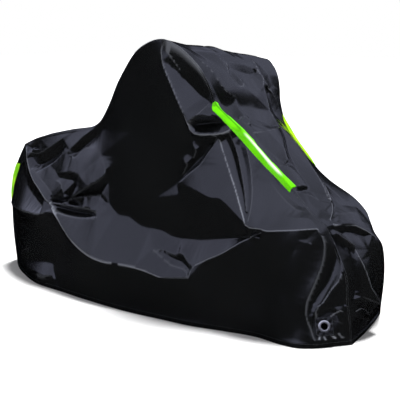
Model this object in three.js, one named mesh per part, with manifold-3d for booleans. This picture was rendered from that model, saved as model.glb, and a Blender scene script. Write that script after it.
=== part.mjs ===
// A motorcycle cover of thin coated cloth, in the shape in which it hangs over a machine on its side stand.
// It is three cut panels sewn along two seams, four reflective strips over those seams, and two lock holes,
// each a patch in the cloth with a metal ring clamped through it. Millimetres: +X is the front of the cover,
// +Y its left side and +Z up. The hem stands on z = 0.
import * as THREE from 'three';
import { mergeVertices } from 'three/addons/utils/BufferGeometryUtils.js';
import Module from 'manifold-3d';

const wasm = await Module();
wasm.setup();
const { clamp, lerp, smoothstep } = THREE.MathUtils;

// Cloth, seams and the fineness of the panels' grids
const CLOTH = 2;
const SEAM_GAP = 0.45;
const SEAM_HOLD = 70;
const SIDE_COLUMNS = 42;
const SIDE_ROWS = 17;
const CENTRE_COLUMNS = 8;

// Reflective strips: the first and last place of each along its seam, as a height or a length in side view
const STRIP_CLOTH = 1.2;
const STRIP_GAP = 0.8;
const STRIP_HALF_WIDTH = 25;
const BESIDE_SEAM = 20;
const STRIPS = [
  { name: 'front_right_strip', seam: 'right', edge: 'top', from: 425, to: 800 },
  { name: 'front_left_strip', seam: 'left', edge: 'top', from: 300, to: 560 },
  { name: 'rear_right_strip', seam: 'right', edge: 'rear', from: 330, to: 575 },
  { name: 'rear_left_strip', seam: 'left', edge: 'rear', from: 330, to: 560 },
];

// Lock holes: turn is how far the patch faces forward from its own side, and tilt how far it faces up
const PATCH_SIZE = 76;
const PATCH_GAP = 0.4;
const PATCH_FLAT = 66;
const PATCH_BLEND = 60;
const RING_HOLE = 28;
const RING_BARREL = 33;
const RING_OUTSIDE = 50;
const RING_FLANGE = 1.6;
const RING_CLEARANCE = 0.4;
const CIRCLE_STEPS = 20;
const CUT_DEPTH = 60;
const LOCK_HOLES = {
  right: { x: 1035, z: 80, turn: 0.85, tilt: 0.42 },
  left: { x: 880, z: 80, turn: 0.85, tilt: 0.15 },
};

// The seam lines in side view, a row for each cross line from the rear hem over the top to the front hem.
// right and left are [x, z]; crown is how far the cloth between the two seams stands up in its middle.
const SPINE = [
  { place: 'rear hem', right: [-1090, 0], left: [-1060, 0], crown: 12 },
  { place: 'rear low', right: [-1086, 180], left: [-1060, 170], crown: 14 },
  { place: 'rear middle', right: [-1078, 330], left: [-1055, 310], crown: 16 },
  { place: 'rear high', right: [-1030, 510], left: [-1020, 480], crown: 18 },
  { place: 'tail corner', right: [-950, 640], left: [-955, 600], crown: 18 },
  { place: 'tail', right: [-830, 682], left: [-820, 648], crown: 20 },
  { place: 'behind seat', right: [-670, 718], left: [-660, 682], crown: 18 },
  { place: 'seat', right: [-540, 742], left: [-530, 700], crown: 14 },
  { place: 'seat front', right: [-420, 765], left: [-420, 715], crown: 10 },
  { place: 'dip', right: [-350, 800], left: [-350, 745], crown: 4 },
  { place: 'rise', right: [-270, 885], left: [-280, 810], crown: 0 },
  { place: 'back slope', right: [-200, 1000], left: [-200, 910], crown: 0 },
  { place: 'back shoulder', right: [-90, 1110], left: [-90, 1005], crown: 2 },
  { place: 'behind bar', right: [30, 1168], left: [30, 1062], crown: 4 },
  { place: 'bar', right: [140, 1187], left: [140, 1085], crown: 4 },
  { place: 'bar front', right: [220, 1163], left: [195, 1045], crown: 8 },
  { place: 'shield top', right: [275, 1130], left: [225, 1000], crown: 14 },
  { place: 'shield', right: [345, 1070], left: [243, 940], crown: 20 },
  { place: 'shield low', right: [402, 985], left: [255, 885], crown: 26 },
  { place: 'lamp', right: [434, 910], left: [310, 800], crown: 30 },
  { place: 'slope high', right: [560, 806], left: [425, 705], crown: 30 },
  { place: 'slope', right: [680, 700], left: [545, 622], crown: 26 },
  { place: 'slope low', right: [800, 594], left: [680, 550], crown: 22 },
  { place: 'fender', right: [885, 522], left: [830, 498], crown: 18 },
  { place: 'nose corner', right: [965, 455], left: [985, 415], crown: 18 },
  { place: 'nose', right: [1025, 350], left: [1040, 350], crown: 18 },
  { place: 'front high', right: [1068, 270], left: [1046, 290], crown: 16 },
  { place: 'front middle', right: [1085, 170], left: [1035, 215], crown: 14 },
  { place: 'front low', right: [1103, 60], left: [1000, 90], crown: 10 },
  { place: 'front hem', right: [1110, 0], left: [960, 0], crown: 8 },
];

// How far each side hangs from the middle plane: a row for each cross section, a column for each height
const HEIGHTS = [0, 180, 380, 600, 780, 980, 1180];
const RIGHT_SIDE = [
  { x: -1110, out: [150, 175, 185, 190, 190, 190, 190] },
  { x: -950, out: [275, 262, 240, 212, 195, 190, 190] },
  { x: -800, out: [365, 340, 300, 245, 205, 200, 200] },
  { x: -600, out: [455, 410, 350, 280, 220, 220, 220] },
  { x: -400, out: [485, 430, 375, 310, 235, 235, 235] },
  { x: -200, out: [515, 450, 395, 350, 310, 275, 260] },
  { x: 0, out: [535, 455, 403, 378, 350, 330, 325] },
  { x: 150, out: [540, 458, 405, 388, 372, 355, 350] },
  { x: 300, out: [535, 458, 405, 380, 362, 350, 345] },
  { x: 450, out: [530, 460, 410, 365, 345, 335, 335] },
  { x: 600, out: [500, 450, 410, 350, 320, 318, 318] },
  { x: 750, out: [480, 440, 410, 318, 302, 302, 302] },
  { x: 900, out: [500, 455, 385, 268, 262, 262, 262] },
  { x: 1000, out: [480, 400, 298, 250, 245, 245, 245] },
  { x: 1110, out: [320, 285, 262, 250, 250, 250, 250] },
];
const LEFT_SIDE = [
  { x: -1100, out: [60, 60, 50, 40, 30, 30, 30] },
  { x: -950, out: [170, 150, 110, 40, 20, 20, 20] },
  { x: -800, out: [260, 225, 180, 85, 40, 40, 40] },
  { x: -600, out: [340, 300, 245, 140, 50, 50, 50] },
  { x: -400, out: [390, 350, 300, 200, 70, 60, 60] },
  { x: -200, out: [420, 390, 350, 290, 200, 220, 220] },
  { x: 0, out: [435, 415, 395, 375, 360, 350, 350] },
  { x: 150, out: [440, 425, 415, 408, 405, 402, 400] },
  { x: 300, out: [430, 410, 390, 365, 335, 350, 350] },
  { x: 450, out: [410, 390, 360, 290, 240, 240, 240] },
  { x: 600, out: [380, 355, 310, 200, 170, 170, 170] },
  { x: 750, out: [330, 300, 240, 130, 110, 110, 110] },
  { x: 900, out: [230, 200, 130, 60, 50, 50, 50] },
  { x: 1000, out: [100, 80, 10, 0, 0, 0, 0] },
  { x: 1060, out: [60, 40, 0, 0, 0, 0, 0] },
];

// The main folds. path is a few points in the panel's own plane: [x, z] in side view for a side panel, and
// [along, across] on the flat pattern for the centre panel. rise is how far the fold stands out, or in where
// it is minus. left and right are its reach on each side of the path, and fade the share of the path over
// which each end runs out. A fold's two sides are flat, as in stiff coated cloth.
const RIGHT_FOLDS = [
  {
    name: 'long swag', rise: 66, left: 200, right: 260, fade: 0.16,
    path: [[-945, 635], [-915, 560], [-805, 485], [-650, 450], [-560, 395], [-415, 300], [-335, 255],
      [-250, 225], [-90, 190], [145, 195], [430, 200], [630, 350], [790, 440]],
  },
  {
    name: 'shoulder edge', rise: 48, left: 130, right: 120, fade: 0.3,
    path: [[600, 445], [745, 430], [985, 455]],
  },
  {
    name: 'bar end ridge', rise: 34, left: 150, right: 170, fade: 0.3,
    path: [[130, 1170], [145, 1095], [185, 1010], [235, 935], [300, 835], [320, 760]],
  },
  {
    name: 'grip fold', rise: 40, left: 180, right: 60, fade: 0.35,
    path: [[270, 815], [370, 915], [430, 960]],
  },
  {
    name: 'fan ridge', rise: 50, left: 140, right: 220, fade: 0.24,
    path: [[430, 830], [480, 710], [530, 610], [595, 490], [640, 425]],
  },
  {
    name: 'fan edge', rise: -22, left: 120, right: 80, fade: 0.2,
    path: [[445, 790], [390, 690], [240, 565]],
  },
  {
    name: 'corner ridge', rise: 32, left: 60, right: 100, fade: 0.25,
    path: [[965, 455], [990, 340], [985, 245], [970, 150], [1000, 30]],
  },
  {
    name: 'tail trough', rise: -28, left: 60, right: 70, fade: 0.3,
    path: [[-590, 720], [-690, 625], [-790, 540]],
  },
  {
    name: 'seat trough', rise: -30, left: 70, right: 80, fade: 0.3,
    path: [[-330, 790], [-465, 675], [-560, 605]],
  },
  {
    name: 'black valley', rise: -50, left: 90, right: 110, fade: 0.3,
    path: [[-520, 400], [-445, 430], [-370, 490], [-290, 515], [-220, 570], [-100, 660]],
  },
  {
    name: 'tail valley', rise: -24, left: 70, right: 80, fade: 0.25,
    path: [[-950, 610], [-855, 435], [-600, 350]],
  },
  {
    name: 'rear skirt edge', rise: 30, left: 150, right: 110, fade: 0.25,
    path: [[-1080, 330], [-865, 310], [-520, 345]],
  },
];
const LEFT_FOLDS = [
  {
    name: 'left swag', rise: 46, left: 170, right: 240, fade: 0.2,
    path: [[-900, 470], [-600, 300], [-250, 220], [150, 210], [500, 290], [800, 400]],
  },
  {
    name: 'left bar ridge', rise: 30, left: 150, right: 170, fade: 0.3,
    path: [[140, 1060], [190, 740], [280, 560]],
  },
  {
    name: 'left fan ridge', rise: 30, left: 120, right: 150, fade: 0.25,
    path: [[300, 780], [560, 460], [650, 380]],
  },
  {
    name: 'left seat trough', rise: -26, left: 80, right: 90, fade: 0.3,
    path: [[-330, 720], [-450, 610], [-600, 480]],
  },
  {
    name: 'left tail fold', rise: 24, left: 90, right: 90, fade: 0.3,
    path: [[-900, 560], [-760, 400], [-720, 40]],
  },
  {
    name: 'left front fold', rise: 24, left: 80, right: 90, fade: 0.3,
    path: [[860, 450], [840, 300], [760, 60]],
  },
];
const CENTRE_FOLDS = [
  {
    name: 'bar trough', rise: -24, left: 60, right: 50, fade: 0.3,
    path: [[2110, -190], [2095, -25], [2085, 140]],
  },
  {
    name: 'left crease', rise: 22, left: 60, right: 80, fade: 0.2,
    path: [[1990, 240], [2145, 165], [2420, 130]],
  },
  {
    name: 'right crease', rise: 18, left: 60, right: 60, fade: 0.3,
    path: [[2040, -320], [2115, -310], [2260, -225]],
  },
  {
    name: 'shield hollow', rise: -26, left: 100, right: 100, fade: 0.3,
    path: [[2230, -240], [2250, -20], [2300, 40]],
  },
  {
    name: 'lamp ridge', rise: 18, left: 70, right: 70, fade: 0.3,
    path: [[2400, -200], [2390, -60], [2380, 90]],
  },
  {
    name: 'nose ridge', rise: 22, left: 80, right: 80, fade: 0.2,
    path: [[3060, -130], [2925, -25], [2640, 145]],
  },
  {
    name: 'nose edge', rise: 18, left: 70, right: 70, fade: 0.3,
    path: [[3045, -140], [3055, -50], [3060, 140]],
  },
  {
    name: 'front ridge', rise: 22, left: 70, right: 70, fade: 0.25,
    path: [[3075, -75], [3150, -38], [3430, 60]],
  },
];

// The height that one row of each side's grid follows, so that the long swag stays one clean edge
const GUIDE_LEVEL = 0.62;
const GUIDES = {
  right: {
    x: [-950, -805, -650, -415, -250, -90, 145, 430, 630, 790, 985, 1110],
    z: [600, 485, 450, 300, 225, 190, 195, 200, 350, 435, 455, 380],
  },
  left: { x: [-950, -600, -250, 150, 500, 800, 1060], z: [440, 300, 220, 210, 290, 390, 300] },
};
const SIDES = {
  right: { table: RIGHT_SIDE, folds: RIGHT_FOLDS, out: -1 },
  left: { table: LEFT_SIDE, folds: LEFT_FOLDS, out: 1 },
};

// Smooth curve through a table, where xs rise
function through(xs, ys, x) {
  const last = xs.length - 1;
  let i = 0;
  while (i < last - 1 && x > xs[i + 1]) i += 1;
  const slope = (k) => {
    const before = Math.max(k - 1, 0);
    const after = Math.min(k + 1, last);
    return (ys[after] - ys[before]) / (xs[after] - xs[before]);
  };
  const width = xs[i + 1] - xs[i];
  const t = clamp((x - xs[i]) / width, 0, 1);
  const back = t * (1 - t) * (1 - t);
  const ahead = t * t * (1 - t);
  return lerp(ys[i], ys[i + 1], t * t * (3 - 2 * t)) + width * (slope(i) * back - slope(i + 1) * ahead);
}

// How far one fold lifts the cloth at a point of its own plane
const STEPS_PER_POINT = 4;
function foldLift(fold, x, y) {
  fold.steps ??= new THREE.SplineCurve(fold.path.map((point) => new THREE.Vector2(...point)))
    .getSpacedPoints(STEPS_PER_POINT * fold.path.length);
  const count = fold.steps.length - 1;
  let nearest = { distance: Infinity };
  for (let i = 0; i < count; i += 1) {
    const start = fold.steps[i];
    const step = fold.steps[i + 1].clone().sub(start);
    const offset = new THREE.Vector2(x, y).sub(start);
    const t = clamp(offset.dot(step) / step.lengthSq(), 0, 1);
    offset.addScaledVector(step, -t);
    const distance = offset.length();
    if (distance < nearest.distance) nearest = { distance, side: step.cross(offset), share: (i + t) / count };
  }
  const reach = nearest.side > 0 ? fold.left : fold.right;
  const height = Math.max(0, 1 - nearest.distance / reach);
  const end = Math.min(nearest.share, 1 - nearest.share) / fold.fade;
  return fold.rise * height * smoothstep(end, 0, 1);
}
const foldsLift = (folds, x, y) => folds.reduce((sum, fold) => sum + foldLift(fold, x, y), 0);

// How far a side hangs out at a place in side view, before its folds
function sideOut(table, x, z) {
  const xs = table.map((row) => row.x);
  const column = HEIGHTS.map((_, k) => through(xs, table.map((row) => row.out[k]), x));
  return through(HEIGHTS, column, z);
}

// The middle of a lock hole on the outside of the cloth, and the way it faces
function lockHole(side) {
  const { x, z, turn, tilt } = LOCK_HOLES[side];
  const { table, out } = SIDES[side];
  const level = Math.cos(tilt);
  const face = new THREE.Vector3(level * Math.sin(turn), out * level * Math.cos(turn), Math.sin(tilt));
  return { middle: new THREE.Vector3(x, out * sideOut(table, x, z), z), face };
}
SIDES.right.hole = lockHole('right');
SIDES.left.hole = lockHole('left');

// A point on the outside of a side panel, which is flat around its lock hole. hold is 0 at a seam, which
// keeps the folds from pulling it out of line, and 1 away from it.
function sidePoint(side, x, z, hold) {
  const { table, folds, out, hole: { middle, face } } = SIDES[side];
  const hanging = out * (sideOut(table, x, z) + hold * foldsLift(folds, x, z));
  const flat = middle.y - ((x - middle.x) * face.x + (z - middle.z) * face.z) / face.y;
  const away = Math.hypot((x - middle.x) / Math.abs(face.y), z - middle.z);
  const share = 1 - smoothstep(away, PATCH_FLAT, PATCH_FLAT + PATCH_BLEND);
  return new THREE.Vector3(x, lerp(hanging, flat, share), z);
}

// A seam's place in side view. along is 0 at the rear hem, 1 and 2 at the tail and nose corners, and 3 at
// the front hem.
const TAIL_CORNER = SPINE.findIndex((row) => row.place === 'tail corner');
const NOSE_CORNER = SPINE.findIndex((row) => row.place === 'nose corner');
const PARTS = [[0, TAIL_CORNER], [TAIL_CORNER, NOSE_CORNER], [NOSE_CORNER, SPINE.length - 1]];
const STATIONS = PARTS.map(([first, last]) => {
  const stations = [0];
  for (let i = first; i < last; i += 1) {
    const step = (side) => Math.hypot(...[0, 1].map((k) => SPINE[i + 1][side][k] - SPINE[i][side][k]));
    stations.push(stations.at(-1) + step('right') + step('left'));
  }
  return stations.map((station) => station / stations.at(-1));
});
function spineValue(along, read) {
  const part = Math.min(Math.floor(along), PARTS.length - 1);
  const [first, last] = PARTS[part];
  return through(STATIONS[part], SPINE.slice(first, last + 1).map(read), along - part);
}
const seamPlace = (side, along) => [0, 1].map((axis) => spineValue(along, (row) => row[side][axis]));

// A side panel's place in side view: u runs from the rear to the front, v from the seam down to the hem
function panelPlace(side, u, v) {
  const top = seamPlace(side, 1 + u);
  const rear = seamPlace(side, 1 - v);
  const front = seamPlace(side, 2 + v);
  const [rearHem, tail, nose, frontHem] = [0, 1, 2, 3].map((along) => seamPlace(side, along));
  const forward = (u + (top[0] - tail[0]) / (nose[0] - tail[0])) / 2;
  const hem = [lerp(rearHem[0], frontHem[0], forward), 0];
  const [x, z] = [0, 1].map((k) => (1 - v) * top[k] + v * hem[k] + (1 - u) * rear[k] + u * front[k]
    - (1 - u) * (1 - v) * tail[k] - u * (1 - v) * nose[k] - (1 - u) * v * rearHem[k] - u * v * frontHem[k]);
  const { x: guideX, z: guideZ } = GUIDES[side];
  const held = Math.min(1, 4 * u, 4 * (1 - u));
  const pull = v < GUIDE_LEVEL ? v / GUIDE_LEVEL : (1 - v) / (1 - GUIDE_LEVEL);
  const straight = v < 1 ? z * (1 - GUIDE_LEVEL) / (1 - v) : 0;
  return [x, z + held * pull * (through(guideX, guideZ, x) - straight)];
}

// Puts a place beside a seam, under a strip
function besideSeam(from, to) {
  const share = BESIDE_SEAM / Math.hypot(to[0] - from[0], to[1] - from[1]);
  return [0, 1].map((k) => lerp(from[k], to[k], share));
}

// A side panel as rows of points on its outside, with an extra row and columns beside the seams
const evenSteps = (count) => Array.from({ length: count + 1 }, (_, k) => k / count);
function sideGrid(side) {
  const shares = evenSteps(SIDE_COLUMNS);
  const places = evenSteps(SIDE_ROWS).map((v) => shares.map((u) => panelPlace(side, u, v)));
  places.splice(1, 0, places[0].map((from, i) => besideSeam(from, places[1][i])));
  places.forEach((row) => {
    row.splice(1, 0, besideSeam(row[0], row[1]));
    row.splice(-1, 0, besideSeam(row.at(-1), row.at(-2)));
  });
  const gap = (from, to) => Math.hypot(to[0] - from[0], to[1] - from[1]);
  return places.map((row, j) => row.map((place, i) => {
    const beside = Math.min(gap(place, places[0][i]), gap(place, row[0]), gap(place, row.at(-1)));
    const hold = smoothstep(beside, 0, SEAM_HOLD);
    const point = sidePoint(side, ...place, hold);
    point.hold = hold;
    return point;
  }));
}
const grids = { right: sideGrid('right'), left: sideGrid('left') };
const rowEnd = grids.right.length - 1;
const columnEnd = grids.right[0].length - 1;
const seamEnd = 2 * rowEnd + columnEnd;

// Where each point of a seam is in its side panel's grid, from the rear hem round to the front hem
const seamSpots = Array.from({ length: seamEnd + 1 }, (_, order) => {
  if (order < rowEnd) return [rowEnd - order, 0];
  if (order < rowEnd + columnEnd) return [0, order - rowEnd];
  return [order - rowEnd - columnEnd, columnEnd];
});
const seamPoint = (side, order) => grids[side][seamSpots[order][0]][seamSpots[order][1]];

function alongOf(order) {
  if (order <= rowEnd) return order / rowEnd;
  if (order <= rowEnd + columnEnd) return 1 + (order - rowEnd) / columnEnd;
  return 2 + (order - rowEnd - columnEnd) / rowEnd;
}

// The centre panel, a row for each point of the seams. along is millimetres from the rear hem down its
// middle and across millimetres from that middle line, minus towards the right seam.
function centreGrid() {
  const shares = evenSteps(CENTRE_COLUMNS);
  let along = 0;
  let lastMiddle = null;
  return seamSpots.map((_, order) => {
    const start = seamPoint('right', order);
    const end = seamPoint('left', order);
    const run = seamPoint('right', Math.min(order + 1, seamEnd)).clone();
    run.sub(seamPoint('right', Math.max(order - 1, 0)));
    const up = run.cross(end.clone().sub(start)).normalize();
    const crown = spineValue(alongOf(order), (row) => row.crown);
    const middle = start.clone().lerp(end, 0.5);
    along += lastMiddle ? middle.distanceTo(lastMiddle) : 0;
    lastMiddle = middle;
    const width = start.distanceTo(end);
    const beside = BESIDE_SEAM / width;
    return [0, beside, ...shares.slice(1, -1), 1 - beside, 1].map((share) => {
      const hold = 1 - Math.abs(2 * share - 1) ** 4;
      const lift = foldsLift(CENTRE_FOLDS, along, (share - 0.5) * width) * hold;
      const height = crown * 4 * share * (1 - share) + lift;
      const point = start.clone().lerp(end, share).addScaledVector(up, height);
      if (order === 0 || order === seamEnd) point.z = 0;
      return point;
    });
  });
}
grids.centre = centreGrid();
const centreEnd = CENTRE_COLUMNS + 2;

// The way out of the cloth at each point of a grid
function waysOut(grid, facing) {
  return grid.map((row, j) => row.map((point, i) => {
    const at = (k, l) => grid[clamp(k, 0, grid.length - 1)][clamp(l, 0, row.length - 1)];
    const across = at(j, i + 1).clone().sub(at(j, i - 1));
    const down = at(j + 1, i).clone().sub(at(j - 1, i));
    const way = across.cross(down).multiplyScalar(facing);
    if (point.z < 0.001) way.setZ(0);
    return way.normalize();
  }));
}
const FACING = { right: -1, left: 1, centre: -1 };
const ways = {};
Object.entries(FACING).forEach(([name, facing]) => {
  ways[name] = waysOut(grids[name], facing);
});

// Opens the seams: each panel's edge moves half the gap into its own panel, and both edges share one way out
const seamBand = { right: [], left: [] };
['right', 'left'].forEach((side) => {
  const column = side === 'right' ? 0 : centreEnd;
  const parts = seamSpots.map(([j, i], order) => {
    const way = ways[side][j][i].clone().add(ways.centre[order][column]).normalize();
    const run = seamPoint(side, Math.min(order + 1, seamEnd)).clone();
    run.sub(seamPoint(side, Math.max(order - 1, 0)));
    const inward = run.cross(way);
    if (order === 0 || order === seamEnd) inward.setZ(0);
    inward.normalize().multiplyScalar((side === 'right' ? 1 : -1) * SEAM_GAP / 2);
    return { j, i, way, inward, at: seamPoint(side, order).clone() };
  });
  parts.forEach(({ j, i, way, inward, at }, order) => {
    seamBand[side].push({ at, way });
    grids[side][j][i] = at.clone().add(inward);
    ways[side][j][i] = way;
    grids.centre[order][column] = at.clone().sub(inward);
    ways.centre[order][column] = way;
  });
});

// A closed sheet between two levels over a grid of points. slant(j, i) picks each cell's diagonal, and
// order(j, i) is the place along a seam, so that facing edges are split in the same way.
function sheet(grid, way, { low, high, facing, slant, order }) {
  const columns = grid[0].length;
  const half = grid.length * columns;
  const lifted = (point, j, i, lift) => point.clone().addScaledVector(way[j][i], lift);
  const level = (lift) => grid.flatMap((row, j) => row.map((point, i) => lifted(point, j, i, lift)));
  const faces = [];
  const face = (a, b, c) => (facing > 0 ? faces.push(a, b, c) : faces.push(a, c, b));
  const id = (j, i) => j * columns + i;
  for (let j = 0; j < grid.length - 1; j += 1) {
    for (let i = 0; i < columns - 1; i += 1) {
      const [a, b, c, d] = [id(j, i), id(j, i + 1), id(j + 1, i + 1), id(j + 1, i)];
      const cells = slant(j, i) ? [[a, b, c], [a, c, d]] : [[a, b, d], [b, c, d]];
      cells.forEach(([k, l, m]) => {
        face(k, l, m);
        face(half + k, half + m, half + l);
      });
    }
  }
  const rim = [];
  for (let i = 0; i < columns; i += 1) rim.push([0, i]);
  for (let j = 1; j < grid.length; j += 1) rim.push([j, columns - 1]);
  for (let i = columns - 2; i >= 0; i -= 1) rim.push([grid.length - 1, i]);
  for (let j = grid.length - 2; j > 0; j -= 1) rim.push([j, 0]);
  rim.forEach((spot, k) => {
    const next = rim[(k + 1) % rim.length];
    const [a, b] = [id(...spot), id(...next)];
    if (order(...next) > order(...spot)) {
      face(b, a, half + a);
      face(b, half + a, half + b);
    } else {
      face(b, a, half + b);
      face(a, half + a, half + b);
    }
  });
  const geometry = new THREE.BufferGeometry();
  const points = [...level(high), ...level(low)].flatMap((point) => point.toArray());
  geometry.setAttribute('position', new THREE.Float32BufferAttribute(points, 3));
  geometry.setIndex(faces);
  geometry.computeVertexNormals();
  return geometry;
}

// The diagonal that lies nearer to the true cloth in the middle of a cell
function sideSlant(side, j, i) {
  if (j === 0) return true;
  if (i === 0 || i === columnEnd - 1) return false;
  const grid = grids[side];
  const [a, b, c, d] = [grid[j][i], grid[j][i + 1], grid[j + 1][i + 1], grid[j + 1][i]];
  const mean = (read) => (read(a) + read(b) + read(c) + read(d)) / 4;
  const middle = sidePoint(side, mean((p) => p.x), mean((p) => p.z), mean((p) => p.hold)).y;
  return Math.abs((a.y + c.y) / 2 - middle) <= Math.abs((b.y + d.y) / 2 - middle);
}
function centreSlant(j, i) {
  if (i === 0) return true;
  if (i === centreEnd - 1) return false;
  const grid = grids.centre;
  return grid[j][i].distanceTo(grid[j + 1][i + 1]) <= grid[j][i + 1].distanceTo(grid[j + 1][i]);
}
function sideOrder(j, i) {
  if (j === 0) return rowEnd + i;
  if (i === 0) return rowEnd - j;
  return i === columnEnd ? rowEnd + columnEnd + j : 0;
}

// Joins and cuts
function toSolid(geometry) {
  const plain = geometry.clone();
  plain.deleteAttribute('normal');
  plain.deleteAttribute('uv');
  const { attributes, index } = mergeVertices(plain);
  const vertProperties = new Float32Array(attributes.position.array);
  const triVerts = new Uint32Array(index.array);
  return new wasm.Manifold(new wasm.Mesh({ numProp: 3, vertProperties, triVerts }));
}
function fromSolid(solid) {
  const { vertProperties, triVerts } = solid.getMesh();
  const geometry = new THREE.BufferGeometry();
  geometry.setAttribute('position', new THREE.BufferAttribute(vertProperties, 3));
  geometry.setIndex(new THREE.BufferAttribute(triVerts, 1));
  geometry.computeVertexNormals();
  return geometry;
}

const cover = new THREE.Group();
function add(name, geometry, { color, roughness, metalness }) {
  const mesh = new THREE.Mesh(geometry, new THREE.MeshStandardMaterial({ color, roughness, metalness }));
  mesh.name = name;
  cover.add(mesh);
  return mesh;
}
const COATED_CLOTH = { color: 0x14151a, roughness: 0.3, metalness: 0 };
const REFLECTIVE_TAPE = { color: 0x7af000, roughness: 0.35, metalness: 0 };
const PLATED_METAL = { color: 0xd8d8d6, roughness: 0.25, metalness: 1 };

// Lays a piece drawn in its own plane, facing +Z, on a side's lock hole
function onHole(geometry, side) {
  const { middle, face } = SIDES[side].hole;
  const level = new THREE.Vector3(0, 0, 1).cross(face).normalize();
  const turn = new THREE.Matrix4().makeBasis(level, face.clone().cross(level), face);
  return geometry.applyMatrix4(turn).translate(...middle);
}
function patch() {
  const outline = new THREE.Shape([[-1, -1], [1, -1], [1, 1], [-1, 1]]
    .map(([x, y]) => new THREE.Vector2(x, y).multiplyScalar(PATCH_SIZE / 2)));
  const hole = new THREE.Path().absarc(0, 0, RING_BARREL / 2 + RING_CLEARANCE, 0, 2 * Math.PI, true);
  outline.holes.push(hole);
  const form = { depth: CLOTH, bevelEnabled: false, curveSegments: CIRCLE_STEPS / 2 };
  return new THREE.ExtrudeGeometry(outline, form).translate(0, 0, -CLOTH);
}
function ring() {
  const [hole, barrel, outside] = [RING_HOLE / 2, RING_BARREL / 2, RING_OUTSIDE / 2];
  const outer = RING_CLEARANCE;
  const inner = -CLOTH - RING_CLEARANCE;
  const back = inner - RING_FLANGE;
  const front = outer + RING_FLANGE;
  const profile = [
    [hole, back], [outside, back], [outside, inner], [barrel, inner],
    [barrel, outer], [outside, outer], [outside, front], [hole, front],
    [hole, back],
  ];
  const points = profile.map((point) => new THREE.Vector2(...point));
  return new THREE.LatheGeometry(points, CIRCLE_STEPS).rotateX(Math.PI / 2);
}

// The side panels, each with a square cut out for its patch
['right', 'left'].forEach((side) => {
  const whole = sheet(grids[side], ways[side], {
    low: -CLOTH, high: 0, facing: FACING[side], slant: (j, i) => sideSlant(side, j, i), order: sideOrder,
  });
  const width = PATCH_SIZE + 2 * PATCH_GAP;
  const cut = onHole(new THREE.BoxGeometry(width, width, CUT_DEPTH), side);
  add(`${side}_side_panel`, fromSolid(toSolid(whole).subtract(toSolid(cut))), COATED_CLOTH);
  add(`${side}_lock_patch`, onHole(patch(), side), COATED_CLOTH);
  add(`${side}_lock_ring`, onHole(ring(), side), PLATED_METAL);
});
add('centre_panel', sheet(grids.centre, ways.centre, {
  low: -CLOTH, high: 0, facing: FACING.centre, slant: centreSlant, order: (j) => j,
}), COATED_CLOTH);

// The strips lie over the seams, a little wider than the panels' extra rows and columns there
STRIPS.forEach(({ name, seam, edge, from, to }) => {
  const axis = edge === 'top' ? 'x' : 'z';
  const inside = (at) => at[axis] >= from && at[axis] <= to;
  const [first, last] = edge === 'top' ? [rowEnd, rowEnd + columnEnd] : [0, rowEnd];
  const rows = seamBand[seam].map((spot, order) => ({ ...spot, order }))
    .filter(({ at, order }) => order >= first && order <= last && inside(at));
  const sideSpot = edge === 'top' ? ([, i], k) => [k, i] : ([j], k) => [j, k];
  const columns = seam === 'right' ? [1, 2] : [centreEnd - 1, centreEnd - 2];
  const further = STRIP_HALF_WIDTH - BESIDE_SEAM;
  const edgeOf = (near, far) => near.clone().lerp(far, further / near.distanceTo(far));
  const points = [];
  const out = [];
  rows.forEach(({ at, way, order }) => {
    const [[j, i], [l, k]] = [1, 2].map((step) => sideSpot(seamSpots[order], step));
    const [side, sideNext] = [grids[seam][j][i], grids[seam][l][k]];
    const [centre, centreNext] = columns.map((column) => grids.centre[order][column]);
    points.push([edgeOf(side, sideNext), side, at, centre, edgeOf(centre, centreNext)]);
    const [sideWay, centreWay] = [ways[seam][j][i], ways.centre[order][columns[0]]];
    out.push([sideWay, sideWay, way, centreWay, centreWay]);
  });
  const facing = seam === 'right' ? -1 : 1;
  add(name, sheet(points, out, {
    low: STRIP_GAP, high: STRIP_GAP + STRIP_CLOTH, facing, slant: (j, i) => i > 1, order: () => 0,
  }), REFLECTIVE_TAPE);
});

// The origin is on the floor under the middle of the whole cover
const middle = new THREE.Box3().setFromObject(cover).getCenter(new THREE.Vector3());
cover.position.set(-middle.x, -middle.y, 0);

export default cover;
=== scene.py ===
# %% [markdown]
# # A motorcycle cover, hung over its machine
# The real thing is one light skin of coated cloth: a long panel that runs from the rear hem over the top to
# the front hem, a panel on each side, four strips of reflective tape over the seams, and two lock holes
# with a metal ring each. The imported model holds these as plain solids. Here each one is replaced by a finer
# one, in metres and in the same frame, so that nothing is fitted afterwards.

# %% Load the frame
import math

import bpy
import numpy as np
from mathutils import Matrix, Vector, noise
from mathutils.geometry import delaunay_2d_cdt


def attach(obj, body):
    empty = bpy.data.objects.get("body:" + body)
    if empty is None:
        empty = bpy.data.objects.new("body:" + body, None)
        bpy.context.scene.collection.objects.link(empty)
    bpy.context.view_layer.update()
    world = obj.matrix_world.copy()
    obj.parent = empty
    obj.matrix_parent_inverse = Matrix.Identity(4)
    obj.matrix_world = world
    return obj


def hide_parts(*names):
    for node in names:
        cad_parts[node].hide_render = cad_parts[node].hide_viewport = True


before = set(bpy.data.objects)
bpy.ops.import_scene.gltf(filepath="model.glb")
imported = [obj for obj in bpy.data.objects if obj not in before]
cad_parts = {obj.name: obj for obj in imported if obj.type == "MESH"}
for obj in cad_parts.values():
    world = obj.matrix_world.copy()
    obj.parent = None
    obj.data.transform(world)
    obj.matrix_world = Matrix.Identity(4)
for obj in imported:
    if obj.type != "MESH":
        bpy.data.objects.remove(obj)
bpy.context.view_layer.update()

# %% [markdown]
# ## The camera
# The photograph looks down a little on the front right of the cover, from just above its top, with a long
# lens, so that its lines hardly converge. A camera is placed by its distance, its way round and its tilt.

# %% Camera
CAMERA_PLACE = (3.2107, -3.7254, 1.25)
CAMERA_ROUND = 40.0
CAMERA_TILT = 9.5
LENS = 94.5
SENSOR = 36.0


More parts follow.
